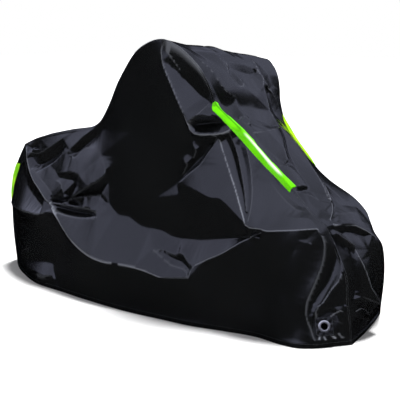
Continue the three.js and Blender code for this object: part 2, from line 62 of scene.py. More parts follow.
def turned_camera(place, around, tilt):
    """A camera matrix that looks along +Y turned by around to the left, and down by tilt, in degrees."""
    turn = Matrix.Rotation(math.radians(around), 4, "Z") @ Matrix.Rotation(math.radians(90 - tilt), 4, "X")
    return Matrix.Translation(place) @ turn


lens = bpy.data.cameras.new("photo_lens")
lens.sensor_width = SENSOR
lens.lens = LENS
camera = bpy.data.objects.new("photo_camera", lens)
camera.matrix_world = turned_camera(CAMERA_PLACE, CAMERA_ROUND, CAMERA_TILT)
bpy.context.collection.objects.link(camera)
bpy.context.scene.camera = camera
print("camera at", CAMERA_PLACE)

# %% [markdown]
# ## Smooth curves through short tables
# Draped cloth has no formula, so its main shape is kept in short tables of millimetres, a row for each
# cross section. Between the rows a curve passes through the values with the slope of their neighbours.
# places says which four rows a value falls among and how much it takes of each, so that one piece of code
# serves a line and, used twice, a surface.

# %% Curves
MM = 0.001


def places(knots, at):
    """The four rows around each value of at, and the share of each. knots rise."""
    knots = np.asarray(knots, float)
    first = np.searchsorted(knots[1:-1], at)
    rows = np.clip([first - 1, first, first + 1, first + 2], 0, len(knots) - 1)
    width = knots[first + 1] - knots[first]
    t = np.clip((at - knots[first]) / width, 0, 1)
    before = width * t * (1 - t) ** 2 / (knots[rows[2]] - knots[rows[0]])
    after = width * t * t * (1 - t) / (knots[rows[3]] - knots[rows[1]])
    blend = t * t * (3 - 2 * t)
    return rows, np.array([-before, 1 - blend + after, blend + before, -after])


def through(knots, values, at):
    """The smooth curve through a table's values."""
    values = np.asarray(values, float)
    return sum(share * values[row] for row, share in zip(*places(knots, at)))


def smooth(value, low, high):
    """0 below low, 1 above high, and a soft step between."""
    t = np.clip((value - low) / (high - low), 0, 1)
    return t * t * (3 - 2 * t)


def distances(points):
    """How far along a line each of its points lies, from 0."""
    return np.concatenate([[0], np.cumsum(np.linalg.norm(np.diff(points, axis=0), axis=-1))])


def read_between(values, run, at):
    """Values kept at the distances of run along a line, read at other distances."""
    return np.stack([np.interp(at, run, values[:, k]) for k in range(values.shape[1])], -1)


print("between 1 and 4 the curve is at", through((0, 1, 2), (0, 1, 4), np.array([1.5]))[0])

# %% [markdown]
# ## The drape
# In side view the two seams are two lines: up the tail, along the seat, over the handlebar and mirrors,
# down the shield and the front fender to the floor. The machine stands on its side stand, so the left line
# is lower than the right one. How far each side hangs out from the middle is a table of its own. All of
# them have the same values as in the solids, in millimetres.

# %% Drape tables
CENTRING = (-9.3, 44.6)
# name, x and z of the right seam, x and z of the left seam, rise of the cloth in the middle between them
SEAMS = [
    ("rear hem", -1090, 0, -1060, 0, 12),
    ("rear low", -1086, 180, -1060, 170, 14),
    ("rear middle", -1078, 330, -1055, 310, 16),
    ("rear high", -1030, 510, -1020, 480, 18),
    ("tail corner", -950, 640, -955, 600, 18),
    ("tail", -830, 682, -820, 648, 20),
    ("behind seat", -670, 718, -660, 682, 18),
    ("seat", -540, 742, -530, 700, 14),
    ("seat front", -420, 765, -420, 715, 10),
    ("dip", -350, 800, -350, 745, 4),
    ("rise", -270, 885, -280, 810, 0),
    ("back slope", -200, 1000, -200, 910, 0),
    ("back shoulder", -90, 1110, -90, 1005, 2),
    ("behind bar", 30, 1168, 30, 1062, 4),
    ("bar", 140, 1187, 140, 1085, 4),
    ("bar front", 220, 1163, 195, 1045, 8),
    ("shield top", 275, 1130, 225, 1000, 14),
    ("shield", 345, 1070, 243, 940, 20),
    ("shield low", 402, 985, 255, 885, 26),
    ("lamp", 434, 910, 310, 800, 30),
    ("slope high", 560, 806, 425, 705, 30),
    ("slope", 680, 700, 545, 622, 26),
    ("slope low", 800, 594, 680, 550, 22),
    ("fender", 885, 522, 830, 498, 18),
    ("nose corner", 965, 455, 985, 415, 18),
    ("nose", 1025, 350, 1040, 350, 18),
    ("front high", 1068, 270, 1046, 290, 16),
    ("front middle", 1085, 170, 1035, 215, 14),
    ("front low", 1103, 60, 1000, 90, 10),
    ("front hem", 1110, 0, 960, 0, 8),
]
HEIGHTS = [0, 180, 380, 600, 780, 980, 1180]
# x: how far the side hangs out at each of HEIGHTS
RIGHT_HANG = {
    -1110: (150, 175, 185, 190, 190, 190, 190),
    -950: (275, 262, 240, 212, 195, 190, 190),
    -800: (365, 340, 300, 245, 205, 200, 200),
    -600: (455, 410, 350, 280, 220, 220, 220),
    -400: (485, 430, 375, 310, 235, 235, 235),
    -200: (515, 450, 395, 350, 310, 275, 260),
    0: (535, 455, 403, 378, 350, 330, 325),
    150: (540, 458, 405, 388, 372, 355, 350),
    300: (535, 458, 405, 380, 362, 350, 345),
    450: (530, 460, 410, 365, 345, 335, 335),
    600: (500, 450, 410, 350, 320, 318, 318),
    750: (480, 440, 410, 318, 302, 302, 302),
    900: (500, 455, 385, 268, 262, 262, 262),
    1000: (480, 400, 298, 250, 245, 245, 245),
    1110: (320, 285, 262, 250, 250, 250, 250),
}
LEFT_HANG = {
    -1100: (60, 60, 50, 40, 30, 30, 30),
    -950: (170, 150, 110, 40, 20, 20, 20),
    -800: (260, 225, 180, 85, 40, 40, 40),
    -600: (340, 300, 245, 140, 50, 50, 50),
    -400: (390, 350, 300, 200, 70, 60, 60),
    -200: (420, 390, 350, 290, 200, 220, 220),
    0: (435, 415, 395, 375, 360, 350, 350),
    150: (440, 425, 415, 408, 405, 402, 400),
    300: (430, 410, 390, 365, 335, 350, 350),
    450: (410, 390, 360, 290, 240, 240, 240),
    600: (380, 355, 310, 200, 170, 170, 170),
    750: (330, 300, 240, 130, 110, 110, 110),
    900: (230, 200, 130, 60, 50, 50, 50),
    1000: (100, 80, 10, 0, 0, 0, 0),
    1060: (60, 40, 0, 0, 0, 0, 0),
}
GUIDE_LEVEL = 0.62
# side: places along x, and how high one row of the side's grid runs there
GUIDES = {
    "right": ([-950, -805, -650, -415, -250, -90, 145, 430, 630, 790, 985, 1110],
              [600, 485, 450, 300, 225, 190, 195, 200, 350, 435, 455, 380]),
    "left": ([-950, -600, -250, 150, 500, 800, 1060], [440, 300, 220, 210, 290, 390, 300]),
}
PATCH_FLAT = 54
PATCH_BLEND = 20
# turn is how far a lock hole faces to the front, and tilt how far it faces up, in radians
LOCK_HOLES = {
    "right": {"x": 1035, "z": 80, "turn": 0.85, "tilt": 0.42},
    "left": {"x": 880, "z": 80, "turn": 0.85, "tilt": 0.15},
}
SIDES = {
    "right": {"hang": RIGHT_HANG, "out": -1, "columns": (1, 2)},
    "left": {"hang": LEFT_HANG, "out": 1, "columns": (3, 4)},
}
print(len(SEAMS), "seam rows,", len(RIGHT_HANG) + len(LEFT_HANG), "cross sections")

# %% [markdown]
# ## Creases
# Coated cloth is stiff. It doesn't fall in round waves: it is stretched between creases, and is nearly flat
# from one to the next. So the folds are kept as their creases alone. Each row names a crease, says how pale
# a line is painted along it, from 0 to 1, and lists its places: two on the panel, and how far the cloth
# stands out there from its unfolded shape, minus for a trough. The pale line is partly the coating's
# whitening and partly a painted highlight for the light that the crease's ridge catches. On a side panel a
# place is x and z in side view. Where cloth juts out and drops back within a few centimetres the drop is
# hidden from the camera's side, and the fold seems to hang over.

# %% Creases of the right side
RIGHT_CREASES = [
    ("peak ridge", 0.5, [(130, 1170, 6), (140, 1130, 12), (155, 1090, 20), (205, 1025, 36), (265, 940, 50),
                         (305, 885, 58), (335, 840, 64)]),
    ("peak left foot", 0, [(-10, 1000, 0), (60, 880, 4), (140, 790, 4), (220, 740, 4)]),
    ("grip top", 0.1, [(155, 1090, 20), (190, 1075, 4), (225, 1050, -6), (265, 1010, -10), (310, 975, -10),
                       (360, 940, -8), (395, 925, 0)]),
    ("black band line", 0.45, [(150, 1150, 4), (200, 1105, 6), (240, 1060, 3)]),
    ("grip low", 0.3, [(335, 840, 64), (355, 860, 57), (375, 880, 44), (390, 900, 26), (400, 920, 8)]),
    ("pocket lip", 0.15, [(335, 840, 64), (365, 865, 62), (395, 875, 56), (430, 870, 50), (460, 865, 42),
                          (490, 855, 30)]),
    ("pocket floor", 0, [(345, 835, 10), (395, 840, -8), (455, 845, -6)]),
    ("roll top", 0, [(340, 825, 50), (360, 815, 28), (385, 815, 20), (430, 825, 16), (485, 840, 6)]),
    ("roll edge", 0.65, [(335, 840, 64), (350, 812, 64), (370, 798, 62), (395, 793, 58), (430, 795, 54),
                        (460, 797, 48), (490, 803, 38), (520, 820, 22)]),
    ("roll foot", 0, [(310, 785, 14), (340, 765, 2), (385, 768, -2), (425, 772, 0)]),
    ("crumple one", 0.25, [(330, 745, 10), (350, 722, 14), (335, 690, 8)]),
    ("crumple two", 0.25, [(290, 672, 10), (310, 660, 13), (285, 615, 8)]),
    ("crumple foot", 0, [(362, 728, -2), (338, 680, -2), (305, 630, 0)]),
    ("crumple left", 0, [(300, 748, 0), (300, 705, 0), (270, 680, 0), (262, 630, 0)]),
    ("fan left edge", 0.25, [(450, 790, 6), (442, 750, 22), (420, 705, 38), (396, 660, 50), (355, 625, 60),
                             (310, 585, 66)]),
    ("fan foot", 0, [(415, 755, -6), (385, 705, -4), (350, 665, -2), (310, 625, 0), (260, 575, 2)]),
    ("fan ridge one", 0.75, [(450, 790, 6), (480, 740, 18), (525, 670, 34), (575, 600, 48), (625, 525, 60),
                            (675, 450, 66)]),
    ("fan valley one", 0, [(485, 785, 2), (525, 725, 12), (565, 655, 26), (610, 580, 42), (655, 500, 56)]),
    ("fan ridge two", 0.25, [(505, 805, 14), (550, 740, 24), (590, 665, 36), (630, 580, 50), (665, 500, 62)]),
    ("fan valley two", 0, [(560, 750, 12), (600, 675, 24), (640, 580, 42), (672, 490, 58)]),
    ("fan ridge three", 0.3, [(595, 745, 16), (630, 670, 30), (660, 585, 46), (680, 520, 58),
                              (685, 465, 64)]),
    ("fan bottom", 0, [(310, 585, 66), (370, 565, 70), (430, 550, 72), (490, 535, 72), (520, 540, 68),
                       (560, 520, 66), (610, 490, 66), (675, 450, 66)]),
    ("under fan", 0, [(295, 525, 30), (410, 475, 30), (550, 425, 30), (625, 395, 30)]),
    ("shoulder edge", 0.6, [(675, 450, 66), (700, 440, 64), (740, 440, 62), (775, 435, 60), (825, 440, 56),
                            (875, 445, 52), (920, 450, 48), (955, 452, 40)]),
    ("shoulder foot", 0, [(690, 405, 50), (780, 400, 46), (880, 405, 42), (930, 415, 40)]),
    ("slope arc", 0, [(640, 700, 16), (675, 600, 30), (725, 530, 40), (800, 495, 40), (875, 490, 36),
                      (935, 490, 24)]),
    ("slope dark", 0, [(800, 470, 46), (865, 465, 46), (915, 470, 38), (935, 480, 28)]),
    ("slope bump", 0.15, [(720, 610, 14), (760, 575, 20), (800, 545, 22), (845, 520, 20), (900, 505, 10)]),
    ("slope dip", 0, [(745, 600, 6), (790, 565, 6), (850, 530, 4)]),
    ("column edge", 0.4, [(955, 452, 44), (975, 425, 44), (988, 390, 44), (995, 335, 43), (993, 290, 40),
                          (985, 230, 32), (975, 170, 21), (980, 125, 13), (1000, 75, 8), (1015, 45, 5),
                          (1035, 10, 2)]),
    ("column left foot", 0, [(925, 400, 41), (938, 365, 38), (938, 300, 30), (928, 215, 16), (925, 155, 9),
                             (950, 85, 4)]),
    ("column black", 0, [(1010, 400, -2), (1015, 335, -6), (1015, 295, -8), (1010, 255, -8),
                         (995, 210, -8), (985, 170, -4), (990, 135, 0)]),
    ("column facet", 0.35, [(1055, 315, 4), (1055, 285, 12), (1050, 250, 16), (1035, 220, 16),
                            (1020, 170, 14), (1010, 160, 12), (1005, 135, 8), (1005, 110, 4)]),
    ("wall streak", 0.05, [(945, 395, 43), (925, 330, 33), (900, 260, 21), (870, 200, 10)]),
    ("wall dark", 0, [(905, 390, 37), (880, 340, 27), (850, 280, 16), (815, 220, 6)]),
    ("swag", 0.65, [(-925, 620, 10), (-885, 560, 22), (-780, 490, 38), (-660, 440, 50), (-560, 395, 58),
                    (-475, 350, 64), (-400, 300, 68), (-325, 260, 70), (-240, 225, 70), (-165, 205, 70),
                    (-85, 195, 70), (-20, 200, 70), (60, 200, 68), (150, 195, 66), (275, 180, 66)]),
    ("swag front", 0.5, [(425, 200, 64), (435, 245, 58), (490, 280, 54), (570, 320, 46), (645, 370, 36),
                         (735, 420, 22)]),
    ("swag point", 0.3, [(275, 180, 66), (340, 188, 66), (425, 200, 64)]),
    ("belly ledge", 0, [(-465, 420, -6), (-395, 445, -4), (-310, 465, -2), (-245, 470, -4), (-210, 445, -6),
                        (-165, 425, -8), (-115, 395, -8), (-35, 390, -10), (40, 360, -10), (100, 355, -10),
                        (185, 350, -10), (235, 335, -10), (315, 335, -8), (400, 345, -6), (490, 360, 0),
                        (570, 375, 6), (650, 392, 12), (735, 420, 22)]),
    ("star low", 0.35, [(180, 280, 40), (245, 255, 44), (300, 235, 48), (350, 230, 50), (395, 225, 54),
                        (425, 200, 64)]),
    ("star dent", 0, [(205, 272, 28), (265, 262, 26), (315, 252, 26), (370, 240, 34), (405, 228, 44)]),
    ("star top", 0.2, [(180, 280, 40), (245, 284, 34), (310, 270, 34), (335, 292, 34), (385, 262, 42),
                       (430, 240, 56)]),
    ("low edge", 0.1, [(275, 180, 66), (290, 205, 54), (300, 230, 47)]),
    ("line b left", 0.3, [(-930, 575, 6), (-893, 508, 12), (-850, 445, 14), (-745, 398, 16),
                          (-645, 368, 24)]),
    ("tail facet low", 0.35, [(-1045, 332, 16), (-1030, 331, 32), (-1000, 330, 44), (-940, 328, 56),
                              (-815, 328, 62), (-695, 333, 66), (-620, 338, 68), (-575, 352, 60)]),
    ("tail under", 0, [(-1025, 262, 2), (-830, 250, 4), (-670, 240, 6), (-520, 195, 8)]),
    ("trough one", 0, [(-870, 580, -8), (-800, 546, -14), (-670, 595, -16), (-620, 632, -12),
                       (-607, 655, -6)]),
    ("trough one lip", 0.3, [(-870, 605, 6), (-805, 605, 6), (-720, 640, 8), (-625, 695, 6)]),
    ("trough one low", 0, [(-770, 520, 14), (-650, 570, 12), (-590, 620, 10), (-585, 650, 6),
                           (-600, 680, 4)]),
    ("band two", 0.2, [(-550, 630, 16), (-510, 670, 16), (-460, 720, 12), (-405, 755, 6)]),
    ("trough two", 0, [(-520, 620, 0), (-485, 638, -14), (-440, 675, -16), (-385, 720, -14),
                       (-335, 760, -8)]),
    ("plate edge", 0.2, [(-525, 622, 10), (-480, 615, 12), (-460, 640, 8), (-435, 662, 4), (-390, 668, 4),
                         (-305, 665, 8), (-245, 630, 14), (-205, 595, 22), (-195, 565, 30),
                         (-240, 530, 42), (-300, 500, 50), (-345, 475, 46), (-420, 440, 36)]),
    ("plate dent rim", 0.2, [(-610, 542, 14), (-570, 535, 18), (-480, 550, 26), (-400, 545, 30),
                             (-375, 515, 34), (-368, 490, 36)]),
    ("plate dent", 0, [(-570, 512, 12), (-505, 510, 8), (-450, 512, 8), (-415, 490, 16)]),
    ("knot", 0.25, [(-570, 500, 22), (-525, 490, 26), (-500, 462, 30), (-470, 430, 34)]),
    ("valley", 0, [(-560, 404, -6), (-500, 412, -14), (-445, 432, -20), (-355, 455, -22), (-275, 490, -20),
                   (-200, 545, -12), (-150, 600, -4), (-110, 650, 0)]),
    ("tail plate low", 0.2, [(-815, 530, 24), (-715, 495, 28), (-590, 445, 34), (-560, 420, 34)]),
    ("flap top", 0.25, [(-485, 397, 36), (-430, 425, 30), (-360, 445, 24), (-280, 462, 16),
                        (-220, 470, 8)]),
    ("slot one", 0, [(-570, 404, 24), (-515, 410, -6), (-435, 412, -8), (-360, 412, 10)]),
    ("flap band", 0.3, [(-575, 397, 44), (-480, 396, 32), (-380, 397, 28), (-280, 400, 30),
                        (-215, 392, 34)]),
    ("lens dark", 0, [(-550, 384, 34), (-480, 374, 0), (-380, 370, -8), (-280, 376, -4), (-220, 380, 24)]),
    ("lens low", 0.3, [(-530, 374, 56), (-465, 358, 44), (-375, 352, 38), (-290, 358, 36),
                       (-205, 372, 36)]),
    ("flap middle", 0.2, [(-235, 462, 2), (-215, 430, 20), (-213, 395, 34)]),
    ("flap left", 0.2, [(-325, 455, 2), (-305, 425, 22), (-310, 405, 28)]),
    ("low facet", 0.35, [(-830, 48, 6), (-730, 50, 18), (-665, 50, 24), (-590, 52, 26), (-520, 55, 26),
                         (-478, 62, 20)]),
    ("tall streak", 0.1, [(-415, 245, 22), (-450, 175, 12), (-470, 90, 8), (-480, 55, 6)]),
    ("wall", 0, [(-60, 800, 0), (-30, 600, 0), (100, 480, 0)]),
    ("lower wall", 0, [(-300, 60, 14), (0, 60, 16), (300, 60, 16), (600, 80, 12), (800, 60, 8)]),
    ("facet valley line", 0, [(1035, 320, 0), (1025, 255, -6), (1015, 205, -6), (1005, 165, -2)]),
    ("arc lip", 0.6, [(1035, 105, 4), (1050, 125, 10), (1075, 140, 12), (1095, 140, 8)]),
    ("arc lip top", 0, [(1020, 150, 4), (1045, 155, 2), (1080, 160, 0)]),
    ("arc flap", 0.2, [(1045, 100, 6), (1070, 95, 8), (1100, 75, 4)]),
    ("pit curl one", 0.8, [(1030, 50, 2), (1040, 10, 1)]),
    ("pit curl two", 0.7, [(1040, 50, 2), (1055, 25, 4), (1050, 5, 1)]),
    ("pit curl three", 0.7, [(1055, 60, 3), (1070, 35, 5), (1065, 5, 2)]),
    ("pit curl four", 0.5, [(1075, 50, 4), (1085, 35, 6), (1085, 10, 3)]),
    ("rear pleat", 0.1, [(-910, 636, 8), (-845, 622, 8), (-775, 628, 4)]),
    ("rear pleat dark", 0, [(-940, 640, -6), (-885, 628, -12), (-820, 632, -6)]),
    ("tail facet top", 0, [(-1012, 500, -6), (-980, 575, -6)]),
    ("low facet top", 0, [(-830, 72, 2), (-724, 86, 0), (-632, 104, 0), (-557, 114, 0), (-490, 114, 0)]),
    ("low sweep", 0.3, [(-865, 90, 6), (-815, 122, 10), (-745, 145, 4)]),
]
print(len(RIGHT_CREASES), "creases on the right side")

# %% Creases of the left side
LEFT_CREASES = [
    ("left swag", 0.3, [(-900, 470, 10), (-600, 300, 40), (-250, 220, 50), (150, 210, 50), (500, 290, 44),
                        (800, 400, 16)]),
    ("left ledge", 0, [(-600, 450, -6), (-250, 420, -8), (150, 400, -8), (500, 430, 0)]),
    ("left bar ridge", 0.3, [(140, 1060, 6), (190, 900, 24), (230, 740, 34), (280, 560, 14)]),
    ("left fan ridge", 0.3, [(300, 780, 6), (430, 620, 30), (560, 460, 34), (650, 380, 14)]),
    ("left seat trough", 0, [(-330, 700, -8), (-450, 610, -18), (-600, 500, -6)]),
    ("left tail fold", 0.1, [(-900, 540, 6), (-790, 400, 22), (-730, 200, 14), (-720, 60, 8)]),
    ("left front fold", 0.2, [(880, 430, 8), (850, 300, 22), (800, 160, 16), (760, 60, 8)]),
    ("left wall", 0, [(-60, 800, 0), (-30, 600, 0), (300, 450, 0)]),
    ("left lower wall", 0, [(-300, 60, 6), (0, 60, 6), (300, 60, 6), (600, 60, 4)]),
]
print(len(LEFT_CREASES), "creases on the left side")

# %% [markdown]
# The centre panel's creases are drawn on its flat pattern: millimetres from the rear hem along its middle,
# and millimetres across from that middle, minus towards the right seam.

# %% Creases of the centre panel
CENTRE_CREASES = [
    ("top smear", 0, [(1985, -330, -4), (2015, -285, -8), (2055, -255, -4)]),
    ("top bright", 0.35, [(2030, -395, 6), (2090, -352, 10), (2135, -318, 12), (2175, -300, 10),
                         (2215, -270, 8), (2235, -190, 2)]),
    ("beside bright", 0, [(2100, -380, -6), (2150, -352, -8), (2200, -335, -10), (2250, -300, -12),
                          (2310, -268, -12), (2370, -235, -14)]),
    ("double line", 0.3, [(1965, -110, 2), (2045, -155, 6), (2080, -130, 4)]),
    ("loop", 0.35, [(2080, -120, 4), (2140, -175, 8), (2172, -165, 8), (2190, -125, 6), (2175, -78, 6),
                    (2150, -95, 6)]),
    ("loop floor", 0, [(2110, -130, -4), (2145, -135, -6), (2170, -118, -4)]),
    ("trough top", 0.15, [(2068, -105, 4), (2060, 15, 8), (2052, 145, 4)]),
    ("trough bottom", 0, [(2098, -95, -8), (2104, 0, -12), (2100, 80, -10), (2085, 140, -4)]),
    ("tongue", 0.1, [(2185, -95, 6), (2205, -45, 8), (2222, -10, 10), (2192, 45, 8), (2195, 95, 6)]),
    ("left crease", 0.5, [(1985, 170, 4), (2025, 170, 8), (2085, 145, 12), (2115, 165, 12), (2155, 132, 12),
                          (2210, 125, 12), (2275, 118, 10), (2350, 130, 8), (2378, 162, 4)]),
    ("left edge crease", 0.4, [(2135, 170, 10), (2195, 240, 10), (2235, 290, 4)]),
    ("left hollow", 0, [(2050, 280, -6), (2110, 300, -8), (2180, 190, -2), (2280, 200, -6)]),
    ("shield hollow", 0, [(2340, -115, -12), (2365, -60, -12), (2385, 20, -12), (2415, 60, -8)]),
    ("mid valley", 0, [(2375, -150, -14), (2398, -172, -14), (2420, -190, -8)]),
    ("small fold", 0.3, [(2380, -255, 4), (2370, -205, 10), (2392, -180, 8), (2412, -215, 2)]),
    ("facet top", 0.3, [(2465, -240, 6), (2460, -125, 12), (2435, 25, 14), (2372, 148, 8)]),
    ("facet valley", 0, [(2475, -235, 0), (2525, -210, -10), (2580, -165, -12), (2632, -118, -6)]),
    ("facet right", 0.2, [(2440, 60, 10), (2490, 10, 10), (2550, -55, 8), (2630, -118, 4)]),
    ("facet right dark", 0, [(2450, 110, -4), (2560, 10, -12), (2670, -50, -12), (2805, -118, -6)]),
    ("slot", 0, [(2618, -220, 0), (2632, -180, -12), (2638, -148, -8)]),
    ("slot lip", 0.25, [(2650, -220, 6), (2662, -170, 10), (2702, -132, 8), (2780, -140, 6)]),
    ("strip end fold", 0.3, [(2755, -250, 4), (2770, -190, 8), (2775, -140, 6)]),
    ("strip end slot", 0, [(2790, -240, -4), (2792, -190, -12), (2790, -130, -8)]),
    ("low facet", 0.2, [(2812, -230, 6), (2835, -180, 10), (2880, -135, 6)]),
    ("low facet dip", 0, [(2875, -190, -2), (2910, -165, -4), (2940, -120, -2)]),
    ("far long crease", 0.4, [(2405, 175, 6), (2555, 158, 12), (2740, 35, 14), (2870, -60, 12),
                              (2915, -70, 8)]),
    ("hub up", 0.5, [(3046, -156, 10), (3000, -130, 16), (2935, -85, 18), (2870, -45, 16), (2785, 20, 12)]),
    ("hub wedge", 0, [(3035, -135, 4), (3000, -110, -8), (2960, -70, -10), (2920, -20, -10)]),
    ("hub right top", 0.2, [(2985, -95, 4), (2995, -25, 8), (2990, 85, 6)]),
    ("hub right", 0.55, [(3048, -152, 12), (3055, -110, 14), (3058, -60, 14), (3060, -10, 14),
                         (3080, 45, 12), (3100, 90, 8), (3120, 120, 4)]),
    ("hub right dark", 0, [(2925, 20, -8), (2935, 90, -8), (2945, 150, -4)]),
    ("hub right foot", 0, [(3078, -60, -4), (3088, 0, -8), (3105, 50, -6)]),
    ("front band", 0.3, [(3075, -148, 14), (3092, -126, 20), (3112, -108, 24), (3140, -78, 24)]),
    ("front ridge", 0.5, [(3155, -65, 6), (3200, -68, 14), (3245, -66, 24), (3310, -50, 36),
                          (3400, 10, 48)]),
    ("front black", 0, [(3150, -90, 2), (3220, -100, -10), (3295, -112, -12), (3325, -140, -8)]),
    ("front dip", 0, [(3170, 30, -6), (3260, 60, -8), (3350, 80, -6)]),
    ("front pit", 0, [(3410, -150, -4), (3430, -110, -6), (3445, -60, -2)]),
    ("front point", 0.5, [(3372, -150, 2), (3376, -105, 6), (3420, -40, 8)]),
    ("front hem fold", 0.3, [(3415, 15, 6), (3455, -45, 8), (3490, -130, 2)]),
    ("rear fold left", 0.2, [(60, -20, 6), (300, -40, 12), (500, -30, 8), (700, 40, 4)]),
    ("rear fold right", 0, [(100, 60, -4), (350, 60, -8), (560, 50, -6)]),
    ("seat crease", 0.2, [(900, -100, 4), (1100, 0, 10), (1300, 80, 8), (1500, 60, 4)]),
    ("seat trough", 0, [(1000, 120, -6), (1250, -80, -8), (1450, -120, -6)]),
    ("back crease", 0.2, [(1600, 100, 4), (1750, 0, 10), (1900, -60, 4)]),
    ("back dip", 0, [(1620, -160, -6), (1800, -180, -8), (1900, 140, -6)]),
    ("front band top", 0.2, [(3062, -150, 8), (3085, -105, 6), (3125, -65, 4)]),
    ("front band under", 0, [(3090, -148, -2), (3118, -118, -4), (3150, -88, -4)]),
    ("front tent left", 0, [(3170, -76, 0), (3240, -90, 6), (3325, -102, 20)]),
    ("front tent low", 0.2, [(3325, -102, 20), (3355, -65, 34), (3400, 10, 48)]),
    ("front tent under", 0, [(3345, -125, -4), (3368, -85, -4), (3415, -8, 4)]),
    ("front point low", 0.1, [(3395, -150, 10), (3412, -108, 18), (3432, -48, 10)]),
]
SIDES["right"]["creases"] = RIGHT_CREASES
SIDES["left"]["creases"] = LEFT_CREASES
print(len(CENTRE_CREASES), "creases on the centre panel")

# %% [markdown]
# ## Stretching the cloth
# The creases are rounded off into smooth lines, and these lines together with the panel's outline are
# triangulated. Each triangle is one flat piece of cloth, so a place in it stands out by as much as its
# three corners say.

# %% Cloth between creases
CREASE_STEP = 28
MERGE = 0.5
ALMOST_NONE = 1e-6


def curve_through(path):
    """Evenly spaced points on the smooth curve through a path."""
    path = np.array(path, float)
    run = distances(path[:, :2])
    at = np.linspace(0, run[-1], max(2, round(run[-1] / CREASE_STEP) + 1))
    at = np.unique(np.concatenate([at, run]))
    return np.stack([through(run, path[:, k], at) for k in range(3)], -1) if len(path) > 2 else path


def stretched(creases, outline):
    """The corners of cloth stretched between creases, and the corners of each flat triangle."""
    lines = [np.vstack([outline, outline[:1]])] + [curve_through(path) for _, _, path in creases]
    corners = np.vstack(lines)
    starts = np.cumsum([0] + [len(line) for line in lines])
    edges = [(k, k + 1) for first, stop in zip(starts, starts[1:]) for k in range(first, stop - 1)]
    flat = [Vector(corner[:2]) for corner in corners]
    made, _, triangles, origins, _, _ = delaunay_2d_cdt(flat, edges, [], 0, MERGE)
    points = np.array([[*place, 0] for place in made])
    for point, origin in zip(points, origins):
        point[2] = corners[origin, 2].mean() if origin else crossing(point, corners, edges)
    return points, triangles


def crossing(point, corners, edges):
    """How far the cloth stands out where two creases cross."""
    start, stop = [corners[[edge[k] for edge in edges]] for k in (0, 1)]
    run = stop - start
    length = np.maximum(np.sum(run[:, :2] ** 2, -1), ALMOST_NONE)
    share = np.clip(np.sum((point[:2] - start[:, :2]) * run[:, :2], -1) / length, 0, 1)
    foot = start + run * share[:, None]
    near = np.hypot(*(foot[:, :2] - point[:2]).T) < 1
    return foot[near, 2].mean() if near.any() else 0


def lift_on(cloth, x, y):
    """How far stretched cloth stands out at each point."""
    corners, triangles = cloth
    lift = np.zeros(x.shape)
    for triangle in triangles:
        a, b, c = corners[list(triangle)]
        low = np.minimum(np.minimum(a, b), c)
        high = np.maximum(np.maximum(a, b), c)
        near = np.nonzero((x >= low[0]) & (x <= high[0]) & (y >= low[1]) & (y <= high[1]))
        size = (b[0] - a[0]) * (c[1] - a[1]) - (b[1] - a[1]) * (c[0] - a[0])
        if abs(size) < ALMOST_NONE or not len(near[0]):
            continue
        dx = x[near] - a[0]
        dy = y[near] - a[1]
        u = (dx * (c[1] - a[1]) - dy * (c[0] - a[0])) / size
        v = (dy * (b[0] - a[0]) - dx * (b[1] - a[1])) / size
        inside = (u >= -ALMOST_NONE) & (v >= -ALMOST_NONE) & (u + v <= 1 + ALMOST_NONE)
        spots = tuple(index[inside] for index in near)
        lift[spots] = a[2] + u[inside] * (b[2] - a[2]) + v[inside] * (c[2] - a[2])
    return lift


print("the longest crease has", max(len(curve_through(path)) for _, _, path in RIGHT_CREASES), "corners")

# %% [markdown]
# ## Points on the creases
# A pale crease has to be an edge of the mesh, or it runs in steps. So in each row or column of a grid
# that such a crease crosses, the nearest point is moved onto it if it is within SNAP. Beside the seams and
# the hem nothing moves. The pale line, partly the coating's whitening and partly a painted highlight,
# fades within a few millimetres from the crease.

# %% Moving points onto creases
CREASE_WIDTH = 2.6
SNAP = 4.6


def by_creases(creases, x, y, free):
    """Points moved onto pale creases that lie close by, where free is set, and how pale each is painted."""
    reach = 4 * CREASE_WIDTH
    moved = np.stack([x, y], -1)
    nearest = np.where(free, SNAP, 0)
    white = np.zeros(x.shape)
    for _, whitening_and_highlight, path in creases:
        line = curve_through(path)[:, :2]
        low = line.min(0) - reach
        high = line.max(0) + reach
        near = (x > low[0]) & (x < high[0]) & (y > low[1]) & (y < high[1])
        place = np.stack([x[near], y[near]], -1)
        best = np.full(len(place), np.inf)
        foot = place.copy()
        level = np.zeros(len(place), bool)
        for start, run in zip(line, np.diff(line, axis=0)):
            share = np.clip((place - start) @ run / max(run @ run, ALMOST_NONE), 0, 1)
            spot = start + run * share[:, None]
            distance = np.hypot(*(spot - place).T)
            nearer = distance < best
            best[nearer] = distance[nearer]
            foot[nearer] = spot[nearer]
            level[nearer] = abs(run[0]) > abs(run[1])
        away = np.full(x.shape, np.inf)
        away[near] = best
        across = np.zeros(x.shape, bool)
        across[near] = level
        beside = np.where(across, least(away, 0), least(away, 1))
        snapped = (away < nearest) & (away <= beside) & (whitening_and_highlight > 0)
        moved[snapped] = foot[snapped[near]]
        nearest[snapped] = away[snapped]
        away[snapped] = 0
        # the pale line along a crease: partly the coating's whitening, partly a painted highlight
        white = np.maximum(white, whitening_and_highlight * np.exp(-(away / CREASE_WIDTH) ** 2))
    return moved, np.where(free, white, 0)


def least(values, axis):
    """The lesser of the two neighbours of each value along one axis."""
    return np.minimum(np.roll(values, 1, axis), np.roll(values, -1, axis))


print("grid points move", SNAP, "mm at most")

# %% [markdown]
# ## Swells and dimples
# Between its creases real cloth is never quite flat. Two layers of soft noise make it uneven by a
# millimetre or two, which bends the reflections a little.

# %% Uneven cloth
# height and size in millimetres, of the swells and of the dimples
RIPPLES = [(1.6, 110), (0.5, 38)]
RIPPLE_LAYERS = {"right": (-3.1, -7.7), "left": (3.1, 7.7), "centre": (1.3, 5.9)}


